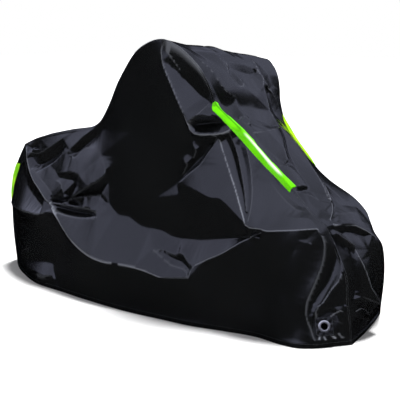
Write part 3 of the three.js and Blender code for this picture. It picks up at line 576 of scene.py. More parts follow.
def ripple(x, y, size, layer):
    """Soft noise from -1 to 1, with swells about size across. Each layer has a noise of its own."""
    flat = zip((x / size).ravel().tolist(), (y / size).ravel().tolist())
    return np.array([noise.noise(Vector((u, v, layer))) for u, v in flat]).reshape(x.shape)


def uneven(panel, x, y):
    """How far the swells and dimples of a panel stand out."""
    rows = zip(RIPPLES, RIPPLE_LAYERS[panel])
    return sum(height * ripple(x, y, size, layer) for (height, size), layer in rows)


print("swells and dimples are", [height for height, _ in RIPPLES], "mm high at most")

# %% [markdown]
# ## The side panels
# A side panel fills the outline between its two seams and the hem, and its grid of points comes from its
# four edges. The seams are measured in three parts, up the tail, over the top and down the nose, so that
# the grid's corners fall on the cover's own corners.

# %% Parts of the seams
TAIL_CORNER = 4
NOSE_CORNER = 24
PARTS = [(0, TAIL_CORNER), (TAIL_CORNER, NOSE_CORNER), (NOSE_CORNER, len(SEAMS) - 1)]


def stations(first, last):
    """How far along its part of the seams each row lies, from 0 to 1."""
    lines = np.array([row[1:5] for row in SEAMS[first:last + 1]], float)
    run = distances(lines[:, :2]) + distances(lines[:, 2:])
    return run / run[-1]


STATIONS = [stations(first, last) for first, last in PARTS]


def on_seams(part, share, column):
    """One column of the seam table, along its rear, top or front part."""
    first, last = PARTS[part]
    return through(STATIONS[part], [row[column] for row in SEAMS[first:last + 1]], share)


def seam_place(side, part, share):
    """A seam's place in side view, as (x, z)."""
    return np.stack([on_seams(part, share, column) for column in SIDES[side]["columns"]], -1)


print("the grid's corners are at the", SEAMS[TAIL_CORNER][0], "and the", SEAMS[NOSE_CORNER][0])

# %% [markdown]
# Each place of the grid is blended from the four edges. Then the rows are pulled so that one of them
# follows the long swag, which keeps that edge clean. The pull fades towards the tail and the nose.

# %% Places in side view
def panel_place(side, u, v):
    """A side panel's place in side view. u runs from rear to front and v from the seam to the hem."""
    top = seam_place(side, 1, u)[None]
    rear = seam_place(side, 0, 1 - v)[:, None]
    front = seam_place(side, 2, v)[:, None]
    rear_hem, tail = seam_place(side, 0, np.array([0.0, 1.0]))
    nose, front_hem = seam_place(side, 2, np.array([0.0, 1.0]))
    forward = (u + (top[0, :, 0] - tail[0]) / (nose[0] - tail[0])) / 2
    hem = np.stack([rear_hem[0] + (front_hem[0] - rear_hem[0]) * forward, 0 * u], -1)[None]
    u = u[None, :, None]
    v = v[:, None, None]
    place = ((1 - v) * top + v * hem + (1 - u) * rear + u * front - (1 - u) * (1 - v) * tail
             - u * (1 - v) * nose - (1 - u) * v * rear_hem - u * v * front_hem)
    held = np.minimum(1, 4 * np.minimum(u, 1 - u))[..., 0]
    v = v[..., 0]
    pull = np.where(v < GUIDE_LEVEL, v / GUIDE_LEVEL, (1 - v) / (1 - GUIDE_LEVEL))
    straight = place[..., 1] * (1 - GUIDE_LEVEL) / np.maximum(1 - v, ALMOST_NONE)
    guide = through(*GUIDES[side], place[..., 0])
    place[..., 1] += np.where(v < 1, held * pull * (guide - straight), 0)
    return place


half = np.array([0.5])
print("middle of the right panel:", panel_place("right", half, half)[0, 0].round(), "mm")

# %% [markdown]
# Extra rows beside the seams and the hem, at these millimetres from the edge, leave room for the turned
# edges that are sewn there. The next rows of the grid start at a share of the panel's own size.

# %% Rows for the sewn edges
GRID_COLUMNS = 316
GRID_ROWS = 134
SEAM_STEPS = (3, 10, 13)
HEM_STEPS = (3, 17, 20, 23)
EDGE_SHARES = {"top": 0.032, "hem": 0.055, "end": 0.012}


def with_steps(rows, steps):
    """Adds rows at these millimetres from the first row."""
    gap = np.linalg.norm(rows[1] - rows[0], axis=-1, keepdims=True)
    extra = [rows[0] + (rows[1] - rows[0]) * step / gap for step in steps]
    return np.concatenate([rows[:1], extra, rows[1:]])


def side_places(side, columns, rows):
    """The grid of a side panel in side view, with its extra rows."""
    u = np.concatenate([[0], np.linspace(EDGE_SHARES["end"], 1 - EDGE_SHARES["end"], columns), [1]])
    v = np.concatenate([[0], np.linspace(EDGE_SHARES["top"], 1 - EDGE_SHARES["hem"], rows), [1]])
    grid = with_steps(panel_place(side, u, v), SEAM_STEPS)
    grid = with_steps(grid[::-1], HEM_STEPS)[::-1]
    grid = with_steps(grid.swapaxes(0, 1), SEAM_STEPS)
    grid = with_steps(grid[::-1], SEAM_STEPS)[::-1]
    return grid.swapaxes(0, 1)


print("a side panel has", GRID_COLUMNS, "by", GRID_ROWS, "even rows, and more at its edges")

# %% [markdown]
# The hang tables are read as one smooth surface for each side. A lock hole is placed on it, and faces
# outwards by its turn and its tilt.

# %% Hang and lock holes
def hang(side, x, z):
    """How far a side hangs out from the middle, before its folds."""
    table = SIDES[side]["hang"]
    outs = np.array(list(table.values()), float)
    across = list(zip(*places(list(table), x)))
    up = list(zip(*places(HEIGHTS, z)))
    return sum(a * b * outs[i, k] for i, a in across for k, b in up)


def lock_hole(side):
    """The middle of a lock hole on the outside of the cloth, and the way that it faces."""
    hole = LOCK_HOLES[side]
    out = SIDES[side]["out"]
    level = math.cos(hole["tilt"])
    face = [level * math.sin(hole["turn"]), out * level * math.cos(hole["turn"]), math.sin(hole["tilt"])]
    reach = hang(side, np.array([hole["x"]]), np.array([hole["z"]]))[0]
    return np.array([hole["x"], out * reach, hole["z"]]), np.array(face)


print("right lock hole at", lock_hole("right")[0].round(1), "mm")

# %% [markdown]
# Folds and ripples are added to the hang. They fade out beside the seams, which hold the cloth, and around
# a lock ring, where the cloth is flat. From the bar down to the shield pale lines are painted along the
# seam and along the turned edge beside it, which is FELL wide: a painted highlight for the light that
# the two ridges catch there.

# %% Side panel grids
HEM_CORNERS = 12
SEAM_HOLD = 16
FREE_FROM_SEAM = 22.4
FREE_FROM_HEM = 32
FELL = 11
# painted highlight along the seams: how pale, where along x it shows, and how wide its lines are
SEAM_HIGHLIGHT = 0.5
SEAM_HIGHLIGHT_AT = (130, 170, 340, 400)
EDGE_HIGHLIGHT_WIDE = 4
FELL_HIGHLIGHT_WIDE = 3


def outline_of(side):
    """The edge of a side panel in side view, where its folds end."""
    seam = np.array([row[1:5] for row in SEAMS], float)[:, (0, 1) if side == "right" else (2, 3)]
    hem = np.linspace(seam[-1], seam[0], HEM_CORNERS + 2)[1:-1]
    return np.vstack([seam, hem]) @ np.eye(2, 3)


def flat_at_hole(side, x, z):
    """The plane of a lock hole's patch, and how much of it each place takes."""
    middle, face = lock_hole(side)
    plane = middle[1] - ((x - middle[0]) * face[0] + (z - middle[2]) * face[2]) / face[1]
    away = np.hypot((x - middle[0]) / abs(face[1]), z - middle[2])
    return plane, 1 - smooth(away, PATCH_FLAT, PATCH_FLAT + PATCH_BLEND)


def side_grid(side, place):
    """A side panel's places in side view, its points in millimetres, their creases and gaps to the seams."""
    out = SIDES[side]["out"]
    folds = SIDES[side]["creases"]
    edges = (place[:1], place[:, :1], place[:, -1:])
    gap = np.minimum.reduce([np.linalg.norm(place - edge, axis=-1) for edge in edges])
    free = (gap > FREE_FROM_SEAM) & (place[..., 1] > FREE_FROM_HEM)
    place, crease = by_creases(folds, place[..., 0], place[..., 1], free)
    x, z = np.moveaxis(place, -1, 0)
    hold = smooth(gap, 0, SEAM_HOLD)
    lift = lift_on(stretched(folds, outline_of(side)), x, z) + uneven(side, x, z)
    y = out * (hang(side, x, z) + hold * lift)
    plane, share = flat_at_hole(side, x, z)
    # painted highlight: pale lines along the seam and the turned edge, from the bar down to the shield
    lines = (gap < EDGE_HIGHLIGHT_WIDE) | (np.abs(gap - FELL) < FELL_HIGHLIGHT_WIDE)
    wear_and_highlight = SEAM_HIGHLIGHT * np.interp(x, SEAM_HIGHLIGHT_AT, (0, 1, 1, 0)) * lines
    return place, np.stack([x, y + share * (plane - y), z], -1), np.maximum(crease * hold, wear_and_highlight), gap


grids = {}
creases = {}
seam_gaps = {}
cuts = {}
for name in SIDES:
    in_view = side_places(name, GRID_COLUMNS, GRID_ROWS)
    cuts[name], grids[name], creases[name], seam_gaps[name] = side_grid(name, in_view)
    print(name, "side panel grid", grids[name].shape[:2])

# %% [markdown]
# ## The centre panel
# The centre panel spans from one seam to the other. Each of its rows starts and ends on the side panels'
# own edges, so the seams meet. Between them the cloth rises a little in the middle, and its folds are
# added.

# %% Lines and vectors
def seam_line(side):
    """The points of a side panel's seam edge, from the rear hem over the top to the front hem."""
    grid = grids[side]
    return np.concatenate([grid[::-1, 0], grid[0, 1:-1], grid[:, -1]])


def unit(vectors):
    """The same vectors, each 1 long."""
    return vectors / np.linalg.norm(vectors, axis=-1, keepdims=True)


def neighbours(points):
    """The step from the point before to the point after, along the first axis."""
    return np.concatenate([points[1:], points[-1:]]) - np.concatenate([points[:1], points[:-1]])


def row_shares(line):
    """How far along a line each of its points is, from 0 to 1."""
    run = distances(line)
    return run / run[-1]


print("the right seam is", round(distances(seam_line("right"))[-1] * MM, 2), "m long")

# %% Centre panel grid
CENTRE_COLUMNS = 62
CENTRE_STEPS = (3, 14, 20)
CROWN_COLUMN = 5
OUTLINE_STEP = 12


def crown_rows(edges):
    """How far the centre panel rises in its middle, for each row from the rear hem to the front hem."""
    return np.concatenate([
        on_seams(0, 1 - row_shares(edges[:, 0])[::-1], CROWN_COLUMN)[:-1],
        on_seams(1, row_shares(edges[0]), CROWN_COLUMN),
        on_seams(2, row_shares(edges[:, -1]), CROWN_COLUMN)[1:]])


def centre_grid():
    """Points on the outside of the centre panel, in millimetres, with their creases and flat pattern."""
    start = seam_line("right")
    end = seam_line("left")
    crown = crown_rows(cuts["right"])
    up = unit(np.cross(neighbours(start), end - start))
    along = distances((start + end) / 2)
    width = np.linalg.norm(end - start, axis=-1)
    even = np.linspace(0, 1, CENTRE_COLUMNS + 1)[1:-1]
    beside = np.array([0, *CENTRE_STEPS])[None] / width[:, None]
    inner = beside[:, -1:] + (1 - 2 * beside[:, -1:]) * even
    across = np.concatenate([beside, inner, 1 - beside[:, ::-1]], axis=1)
    x = np.broadcast_to(along[:, None], across.shape)
    y = (across - 0.5) * width[:, None]
    gap = np.minimum(across, 1 - across) * width[:, None]
    free = (gap > FREE_FROM_SEAM) & (x > FREE_FROM_HEM) & (x < along[-1] - FREE_FROM_HEM)
    place, crease = by_creases(CENTRE_CREASES, x, y, free)
    x, y = np.moveaxis(place, -1, 0)
    hold = smooth(gap, 0, SEAM_HOLD)
    edge = np.concatenate([np.stack([along, side * width / 2, 0 * along], -1)[::way * OUTLINE_STEP]
                           for side, way in ((-1, 1), (1, -1))])
    lift = lift_on(stretched(CENTRE_CREASES, edge), x, y) + uneven("centre", x, y)
    start, end, up, crown = [read_between(values, along, x) for values in (start, end, up, crown[:, None])]
    across = y[..., None] / np.interp(x, along, width)[..., None] + 0.5
    height = crown * 4 * across * (1 - across) + (hold * lift)[..., None]
    points = start + (end - start) * across + up * height
    points[[0, -1], :, 2] = 0
    return points, crease * hold, np.stack([x, y], -1)


grids["centre"], creases["centre"], cuts["centre"] = centre_grid()
print("centre panel grid", grids["centre"].shape[:2])
print("centre panel is", round(cuts["centre"][-1, 0, 0] * MM, 2), "m long")

# %% [markdown]
# ## Seams and hem
# Where two panels meet, both edges move apart by half the seam's gap. The turned edge under a seam lifts
# the side panel beside it by about a millimetre, and the doubled hem lifts the lowest two centimetres. Both
# steps lie between the last two of their extra rows.

# %% Seams
SEAM_GAP = 0.4
FELL_RISE = 1.1
HEM_RISE = 0.7
ON_FLOOR = 0.001
FACING = {"right": -1, "left": 1, "centre": -1}


def ways_out(grid, facing):
    """The way out of the cloth at each point of a grid."""
    across = neighbours(grid.swapaxes(0, 1)).swapaxes(0, 1)
    way = np.cross(across, neighbours(grid)) * facing
    way[grid[..., 2] < ON_FLOOR, 2] = 0
    return unit(way)


ways = {name: ways_out(grids[name], facing) for name, facing in FACING.items()}


def edge_spots(side):
    """The grid rows and columns of a side panel's seam edge, in the order of seam_line."""
    rows, columns = grids[side].shape[:2]
    j = np.concatenate([np.arange(rows)[::-1], np.zeros(columns - 2, int), np.arange(rows)])
    i = np.concatenate([np.zeros(rows, int), np.arange(1, columns - 1), np.full(rows, columns - 1)])
    return j, i


seams = {}
for name, column in (("right", 0), ("left", -1)):
    spots = edge_spots(name)
    way = unit(ways[name][spots] + ways["centre"][:, column])
    line = grids[name][spots]
    inward = np.cross(neighbours(line), way)
    inward[[0, -1], 2] = 0
    inward = unit(inward) * SEAM_GAP / 2 * SIDES[name]["out"] * -1
    seams[name] = {"line": line, "way": way, "inward": unit(inward)}
    grids[name][spots] = line + inward
    grids["centre"][:, column] = line - inward
    ways[name][spots] = way
    ways["centre"][:, column] = way

for name in SIDES:
    fell = 1 - smooth(seam_gaps[name], *SEAM_STEPS[1:])
    hem = 1 - smooth(grids[name][..., 2], *HEM_STEPS[2:])
    rise = np.maximum(FELL_RISE * fell, HEM_RISE * hem)
    grids[name] = grids[name] + ways[name] * rise[..., None]
hem = 1 - smooth(grids["centre"][..., 2], *HEM_STEPS[2:])
grids["centre"] = grids["centre"] + ways["centre"] * (HEM_RISE * hem)[..., None]
print("the hem stands up", HEM_RISE, "mm, and the turned edge of a seam", FELL_RISE, "mm")

# %% [markdown]
# ## From points to cloth
# The cloth's thickness is added by the Solidify modifier, inwards, so that the points stay the outside.
# Each four points are split along the diagonal that lies on a crease, or else along the one that bends
# less, so that a slantwise fold doesn't step. The cells where a lock ring's barrel passes are left out.

# %% Faces of a grid
ON_CREASE = 0.04


def grid_faces(grid, facing, gone=None, crease=None):
    """Two triangles for each cell of a grid, split along a crease or the diagonal that bends less."""
    rows, columns = grid.shape[:2]
    ids = np.arange(rows * columns).reshape(rows, columns)
    a, b, c, d = ids[:-1, :-1], ids[:-1, 1:], ids[1:, 1:], ids[1:, :-1]
    flat = grid.reshape(-1, 3)
    falling = bend_over(flat, a, c, b, d) <= bend_over(flat, b, d, a, c)
    if crease is not None:
        on = crease.reshape(-1) > ON_CREASE
        down, up = on[a] & on[c], on[b] & on[d]
        falling = np.where(down == up, falling, down)
    first = np.where(falling[..., None], np.stack([a, b, c], -1), np.stack([a, b, d], -1))
    second = np.where(falling[..., None], np.stack([a, c, d], -1), np.stack([b, c, d], -1))
    if gone is not None:
        first = first[~gone]
        second = second[~gone]
    faces = np.concatenate([first.reshape(-1, 3), second.reshape(-1, 3)])
    return faces if facing > 0 else faces[:, ::-1]


def bend_over(flat, start, end, left, right):
    """How far the two triangles beside a diagonal are from lying flat: 1 less their normals' agreement."""
    run = flat[end] - flat[start]
    one = unit(np.cross(run, flat[left] - flat[start]))
    two = unit(np.cross(flat[right] - flat[start], run))
    return 1 - np.sum(one * two, -1)


print("the right panel's grid has", grids["right"][1:, 1:, 0].size, "cells")

# %% Pieces
def new_mesh(name, points, faces, material):
    """A smooth object from points in millimetres and faces, linked to the scene."""
    mesh = bpy.data.meshes.new(name)
    mesh.from_pydata((np.asarray(points).reshape(-1, 3) * MM).tolist(), [], np.asarray(faces).tolist())
    mesh.materials.append(material)
    mesh.shade_smooth()
    piece = bpy.data.objects.new(name, mesh)
    bpy.context.collection.objects.link(piece)
    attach(piece, "root")
    return piece


def keep(piece, name, values, kind="FLOAT"):
    """Keeps a value for each point of a piece, as an attribute that its material reads."""
    slot = "vector" if kind == "FLOAT_VECTOR" else "value"
    piece.data.attributes.new(name, kind, "POINT").data.foreach_set(slot, values.ravel())


def thicken(piece, thickness):
    """Gives a piece its thickness in millimetres, inwards from its points."""
    modifier = piece.modifiers.new("thickness", "SOLIDIFY")
    modifier.thickness = thickness * MM
    modifier.offset = -1


def centred(points):
    """Points with the origin under the middle of the whole cover."""
    return points + np.array([*CENTRING, 0])


print("the cover is moved by", CENTRING, "mm to stand on the frame's origin")

# %% Panels of cloth
CLOTH = 0.6
HOLE_CUT = 15


def hole_around(side):
    """The cells of a side panel's grid that the lock ring's barrel passes through."""
    middle, _ = lock_hole(side)
    near = np.linalg.norm(grids[side] - middle, axis=-1) < HOLE_CUT
    return near[:-1, :-1] | near[1:, :-1] | near[:-1, 1:] | near[1:, 1:]


def cloth_panel(name, panel, material, gone=None):
    """A panel of cloth with its cut pattern and its creases as attributes."""
    grid = grids[panel]
    faces = grid_faces(grid, FACING[panel], gone, creases[panel])
    piece = new_mesh(name, centred(grid), faces, material)
    flat = np.concatenate([cuts[panel].reshape(-1, 2), np.zeros((grid[..., 0].size, 1))], axis=1)
    keep(piece, "cut", flat, "FLOAT_VECTOR")
    keep(piece, "crease", creases[panel])
    thicken(piece, CLOTH)
    print(name, len(faces), "triangles on its outside")
    return piece


print("each lock ring takes out", int(hole_around("right").sum()), "cells or so")

# %% [markdown]
# ## Colours and nodes
# Colours are written as sRGB hex values, as a colour picker shows them. Shaders work in linear light, so
# one function turns them over. Another adds a node: its settings are its own properties or plain socket
# values, and its links are the outputs that feed its sockets. The Mix node has sockets for each type of
# value, so its two colours are inputs 6 and 7, its share is input 0 and its mixed colour is output 2.

# %% Helpers for materials
def linear(hex_colour):
    """An sRGB hex colour as linear red, green, blue and 1."""
    parts = [int(hex_colour[k:k + 2], 16) / 255 for k in (1, 3, 5)]
    return (*[v / 12.92 if v <= 0.04045 else ((v + 0.055) / 1.055) ** 2.4 for v in parts], 1.0)


def add_node(tree, kind, settings=None, links=None):
    """Adds one shader node to a tree and returns it."""
    made = tree.nodes.new("ShaderNode" + kind)
    for key, value in (settings or {}).items():
        if isinstance(key, str) and hasattr(made, key):
            setattr(made, key, value)
        else:
            made.inputs[key].default_value = value
    for key, source in (links or {}).items():
        tree.links.new(source, made.inputs[key])
    return made


def new_material(name, settings):
    """A material with one Principled shader, and that shader and its tree."""
    material = bpy.data.materials.new(name)
    material.use_nodes = True
    tree = material.node_tree
    shader = tree.nodes["Principled BSDF"]
    for key, value in settings.items():
        shader.inputs[key].default_value = value
    return material, tree, shader


print("mid grey #808080 is", round(linear("#808080")[0], 3), "in linear light")

# %% [markdown]
# ## Coated polyester
# The cloth is Oxford polyester with a polyurethane coat. The weave gives it a fine plain grain, the coat a
# wet-looking gloss that is a little blurred. Black cloth has almost no colour of its own, so what is seen
# is the coat's reflection: grey where it faces up to the light, and black where it faces the dark sides.
# Along hard creases and seams a pale line is painted, by the square of how creased it is, so that it
# stays thin: partly the coat's whitening and partly a painted highlight for the light the ridges catch.
# The weave's threads are about 0.5 mm apart and can't show from here, so they are drawn 1.6 mm apart and
# very shallow. Bumps of 14 mm and 4 mm stand for the small puckers and the uneven coat.

# %% Coated polyester
THREAD = 1.6
PUCKER = 14
GRAIN = 4
DUST = 400


def wave_scale(period):
    """The Wave texture's scale for stripes this many millimetres apart, on a pattern in millimetres."""
    return math.tau / (20 * period)


def coated_polyester():
    material, tree, shader = new_material("coated polyester, black", {
        "IOR": 1.5, "Coat Weight": 0.4, "Coat Roughness": 0.09, "Coat IOR": 1.5})
    cut = add_node(tree, "Attribute", {"attribute_name": "cut"}).outputs["Vector"]
    crease = add_node(tree, "Attribute", {"attribute_name": "crease"}).outputs["Fac"]
    dust = add_node(tree, "TexNoise", {"Scale": 1 / DUST, "Detail": 1.0}, {"Vector": cut}).outputs["Fac"]
    dust = add_node(tree, "MapRange", {"From Min": 0.3, "From Max": 0.7}, {"Value": dust}).outputs["Result"]
    colour = add_node(tree, "Mix", {
        "data_type": "RGBA", 6: linear("#0F1011"), 7: linear("#131415")}, {0: dust})
    # pale line painted along creases and seams: partly the coat's whitening, partly a painted highlight
    white = add_node(tree, "Math", {"operation": "POWER", 1: 2.0}, {0: crease}).outputs[0]
    white = add_node(tree, "Math", {
        "operation": "MULTIPLY", 1: 2.0, "use_clamp": True}, {0: white}).outputs[0]
    colour = add_node(tree, "Mix", {
        "data_type": "RGBA", 7: linear("#7B7E87")}, {0: white, 6: colour.outputs[2]})
    tree.links.new(colour.outputs[2], shader.inputs["Base Color"])
    rough = add_node(tree, "MapRange", {"To Min": 0.2, "To Max": 0.25}, {"Value": dust}).outputs["Result"]
    tree.links.new(rough, shader.inputs["Roughness"])
    warp, weft = [add_node(tree, "TexWave", {"bands_direction": way, "Scale": wave_scale(THREAD)},
                           {"Vector": cut}).outputs["Fac"] for way in "XY"]
    weave = add_node(tree, "Math", {"operation": "MAXIMUM"}, {0: warp, 1: weft}).outputs[0]
    pucker = add_node(tree, "TexNoise", {"Scale": 1 / PUCKER, "Detail": 2.0}, {"Vector": cut}).outputs["Fac"]
    grain = add_node(tree, "TexNoise", {"Scale": 1 / GRAIN, "Detail": 1.0}, {"Vector": cut}).outputs["Fac"]
    bump = add_node(tree, "Bump", {"Strength": 0.12, "Distance": 0.7 * MM}, {"Height": pucker})
    bump = add_node(tree, "Bump", {"Strength": 0.1, "Distance": 0.2 * MM}, {
        "Height": grain, "Normal": bump.outputs[0]})
    bump = add_node(tree, "Bump", {"Strength": 0.1, "Distance": 0.06 * MM}, {
        "Height": weave, "Normal": bump.outputs[0]})
    tree.links.new(bump.outputs[0], shader.inputs["Normal"])
    return material


cloth = coated_polyester()
print(cloth.name, "has", len(cloth.node_tree.nodes), "nodes")

# %% The three panels
for side in SIDES:
    gone = hole_around(side)
    cloth_panel(f"{side}_side_cloth", side, cloth, gone)
    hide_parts(f"{side}_side_panel")
cloth_panel("centre_cloth", "centre", cloth)
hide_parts("centre_panel")

# %% [markdown]
# ## Thread
# Each seam is topstitched twice, along the sewn edge and along the turned edge beside it, and the hem once.
# A lockstitch shows on top as a row of short dashes, thicker in their middle. Each is a long eight-sided
# bead, and a whole row is one joined mesh. The thread is bonded polyester, dark grey, with a soft sheen.
# Its grey is made lighter than the cloth so that the rows show as the pale lines the light draws along the
# seams: partly the thread's own colour, partly a painted highlight. Its twist is 0.5 mm long.

# %% Bonded thread
TWIST = 0.5


def bonded_thread():
    # the grey is lighter than the cloth: partly the thread's own colour, partly a painted highlight
    material, tree, shader = new_material("bonded polyester thread, grey", {
        "Base Color": linear("#4A4D55"), "Roughness": 0.5, "Sheen Weight": 0.3})
    place = add_node(tree, "TexCoord").outputs["Object"]
    twist = add_node(tree, "TexWave", {"bands_direction": "DIAGONAL", "Scale": wave_scale(TWIST) / MM},
                     {"Vector": place}).outputs["Fac"]
    bump = add_node(tree, "Bump", {"Strength": 0.4, "Distance": 0.1 * MM}, {"Height": twist})
    tree.links.new(bump.outputs[0], shader.inputs["Normal"])
    return material


thread = bonded_thread()
print(thread.name, "has", len(thread.node_tree.nodes), "nodes")

# %% Stitches
STITCH = 5.2
STITCH_LONG = 3.8
STITCH_WIDE = 0.9
STITCH_HIGH = 0.6
TIPS = np.array([[-1, 0, 0], [1, 0, 0], [0, 1, 0], [0, 0, 1], [0, -1, 0], [0, 0, -1]], float)
BEAD_FACES = np.array([(0, 3, 2), (0, 4, 3), (0, 5, 4), (0, 2, 5),
                       (1, 2, 3), (1, 3, 4), (1, 4, 5), (1, 5, 2)])


def stitch_row(line, way):
    """The beads of one row of stitches along a line of points, as points and faces."""
    run = distances(line)
    at = np.arange(STITCH / 2, run[-1], STITCH)
    out = unit(read_between(way, run, at))
    ahead = unit(read_between(line, run, at + 1) - read_between(line, run, at - 1))
    size = np.array([STITCH_LONG / 2, STITCH_WIDE / 2, STITCH_HIGH / 2])
    axes = np.stack([ahead, np.cross(out, ahead), out], 1) * size[None, :, None]
    middle = read_between(line, run, at)[:, None] + out[:, None] * STITCH_HIGH / 4
    points = middle + np.einsum("tk,nkc->ntc", TIPS, axes)
    faces = BEAD_FACES[None] + len(TIPS) * np.arange(len(at))[:, None, None]
    return points.reshape(-1, 3), faces.reshape(-1, 3)


def joined(parts):
    """Several lists of points and faces as one."""
    starts = np.cumsum([0] + [len(points) for points, _ in parts[:-1]])
    return (np.concatenate([points for points, _ in parts]),
            np.concatenate([faces + start for (_, faces), start in zip(parts, starts)]))


def seam_row(side, inset):
    """A line of points this far inside a side panel from its seam, and the ways out there."""
    seam = seams[side]
    line = seam["line"] + seam["inward"] * inset + seam["way"] * FELL_RISE
    return line, seam["way"]


print("one stitch is every", STITCH, "mm")

# %% Rows of stitches
STITCH_INSET = 1.6
# panel, and the row of its grid that is stitched
HEM_ROWS = [("right", -3), ("left", -3), ("centre", 2), ("centre", -3)]

for side in SIDES:
    rows = [seam_row(side, inset) for inset in (STITCH_INSET, FELL - STITCH_INSET)]
    points, faces = joined([stitch_row(centred(line), way) for line, way in rows])
    stitches = new_mesh(f"{side}_seam_stitches", points, faces, thread)
    print(stitches.name, len(faces), "triangles")

points, faces = joined([stitch_row(centred(grids[panel][row]), ways[panel][row]) for panel, row in HEM_ROWS])
hem_stitches = new_mesh("hem_stitches", points, faces, thread)
print(hem_stitches.name, len(faces), "triangles")

# %% [markdown]
# ## Reflective strips
# Each strip is a woven tape with a coat of tiny prisms in fluorescent yellow-green, sewn on over the seam.
# The seam under it makes it stand up in a low ridge, which catches the light. It is made from cross lines:
# at each point of the seam a line runs out over both panels, and the tape follows it a little above the
# cloth.

# %% Cross lines
CROSS_POINTS = 12


def cross_line(side, order):
    """Points and ways out across a seam: from inside the side panel to inside the centre panel."""
    rows, columns = grids[side].shape[:2]
    j, i = [spot[order] for spot in edge_spots(side)]
    if order < rows:
        spots = (np.full(CROSS_POINTS, j), np.arange(CROSS_POINTS)[::-1])
    elif order < rows + columns - 2:
        spots = (np.arange(CROSS_POINTS)[::-1], np.full(CROSS_POINTS, i))
    else:
        spots = (np.full(CROSS_POINTS, j), columns - CROSS_POINTS + np.arange(CROSS_POINTS))
    centre = slice(None, CROSS_POINTS) if side == "right" else slice(None, -CROSS_POINTS - 1, -1)
    points = np.concatenate([grids[side][spots], grids["centre"][order, centre]])
    out = np.concatenate([ways[side][spots], ways["centre"][order, centre]])
    return points, out, distances(points) - distances(points[:CROSS_POINTS])[-1]


reach = cross_line("right", len(seam_line("right")) // 2)[2]
print("a cross line over the bar is", round(float(np.ptp(reach))), "mm long")

# %% [markdown]
# Where the grid's columns run askew to the seam, so do the cross lines. The tape's points are moved along
# the seam by as much, so that it keeps its width and its ends are square. Only the upper end of the front
# right strip is cut at a slant.

# %% Strip shape
STRIP_HALF = 28
STRIP_LIFT = 1.0
STRIP_RIDGE = 8
STRIP_STEP = 4
MOST_LEAN = 0.6
ACROSS = np.linspace(-1, 1, 25)


def leaning(points, distance, ahead):
    """The sine of how far a cross line leans along its seam, for each column of a strip."""
    tips = read_between(points, distance, (-STRIP_HALF, STRIP_HALF))
    lean = unit(tips - points[CROSS_POINTS - 1]) @ ahead
    return np.clip(np.where(ACROSS < 0, lean[0], lean[1]), -MOST_LEAN, MOST_LEAN)


def strip_crossings(side, chosen, to_end):
    """A strip's points on each chosen cross line, and how far each has slipped along the seam."""
    points = []
    slips = []
    for spot, ahead, room in zip(chosen, unit(neighbours(seams[side]["line"][chosen])), to_end):
        cloth_points, out, distance = cross_line(side, spot)
        lean = leaning(cloth_points, distance, ahead)
        offsets = ACROSS * STRIP_HALF / np.sqrt(1 - lean ** 2)
        way = unit(read_between(out, distance, offsets))
        ridge = STRIP_RIDGE * (1 - np.abs(ACROSS) ** 1.5) * smooth(room, -STRIP_HALF, 3 * STRIP_HALF)
        points.append(read_between(cloth_points, distance, offsets) + way * (STRIP_LIFT + ridge)[:, None])
        slips.append(np.abs(offsets) * lean)
    return np.array(points), np.array(slips)


def strip_grid(side, edge, start, stop, slant):
    """The grid of a strip's outside, and where each point lies on the flat tape."""
    line = seams[side]["line"]
    rows, columns = grids[side].shape[:2]
    order = np.arange(len(line))
    part = order[order < rows] if edge == "rear" else order[rows:rows + columns - 2]
    along = distances(line)
    begin, end = np.interp((start, stop), line[part, 2 if edge == "rear" else 0], along[part])
    chosen = part[(along[part] > begin - 2 * STRIP_HALF) & (along[part] < end + 2 * STRIP_HALF)]
    run = along[chosen]
    points, slips = strip_crossings(side, chosen, np.minimum(run - begin, end - run))
    share = np.linspace(0, 1, round((end - begin) / STRIP_STEP) + 1)[:, None]
    at = share * (end - begin) + slant * (1 + ACROSS) / 2 * (1 - share)
    grid = []
    for k in range(len(ACROSS)):
        spot = begin + at[:, k] - np.interp(begin + at[:, k], run, slips[:, k])
        grid.append(read_between(points[:, k], run, spot))
    tape = np.stack(np.broadcast_arrays(at, ACROSS * STRIP_HALF, 0.0), -1)
    return np.array(grid).swapaxes(0, 1), tape


print("a strip is", 2 * STRIP_HALF, "mm wide, with a ridge of", STRIP_RIDGE, "mm")

# %% [markdown]
# ## Prismatic tape
# The tape glows with one flat colour, and hardly shines, because its prisms send light back to where it
# came from. They are 0.2 mm across, and are drawn as cells of 4 mm. From its start a dark line is painted
# down each strip's crest, a painted shade for the shadow in the crease there, and farther along a white
# line, a painted highlight for the glint on the ridge.

# %% Prismatic tape
PRISM = 4
WORN_PATCH = 60
CREST = 1
CREST_WIDE = 4
# share of a strip's length: how strong the painted highlight on its crest is, or less than 0 for painted
# shade
CREST_HIGHLIGHT_AND_SHADE = {0: -0.7, 0.34: -0.7, 0.42: 0.6, 0.6: 1, 0.82: 1, 0.88: 0}


def crest_highlight_and_shade(tape):
    """How strong the painted crest highlight is at each point of a tape, or less than 0 for painted crease
    shade.
    """
    along = np.interp(tape[..., 0] / tape[..., 0].max(), list(CREST_HIGHLIGHT_AND_SHADE), list(CREST_HIGHLIGHT_AND_SHADE.values()))
    return along * np.exp(-((tape[..., 1] - CREST) / CREST_WIDE) ** 2)


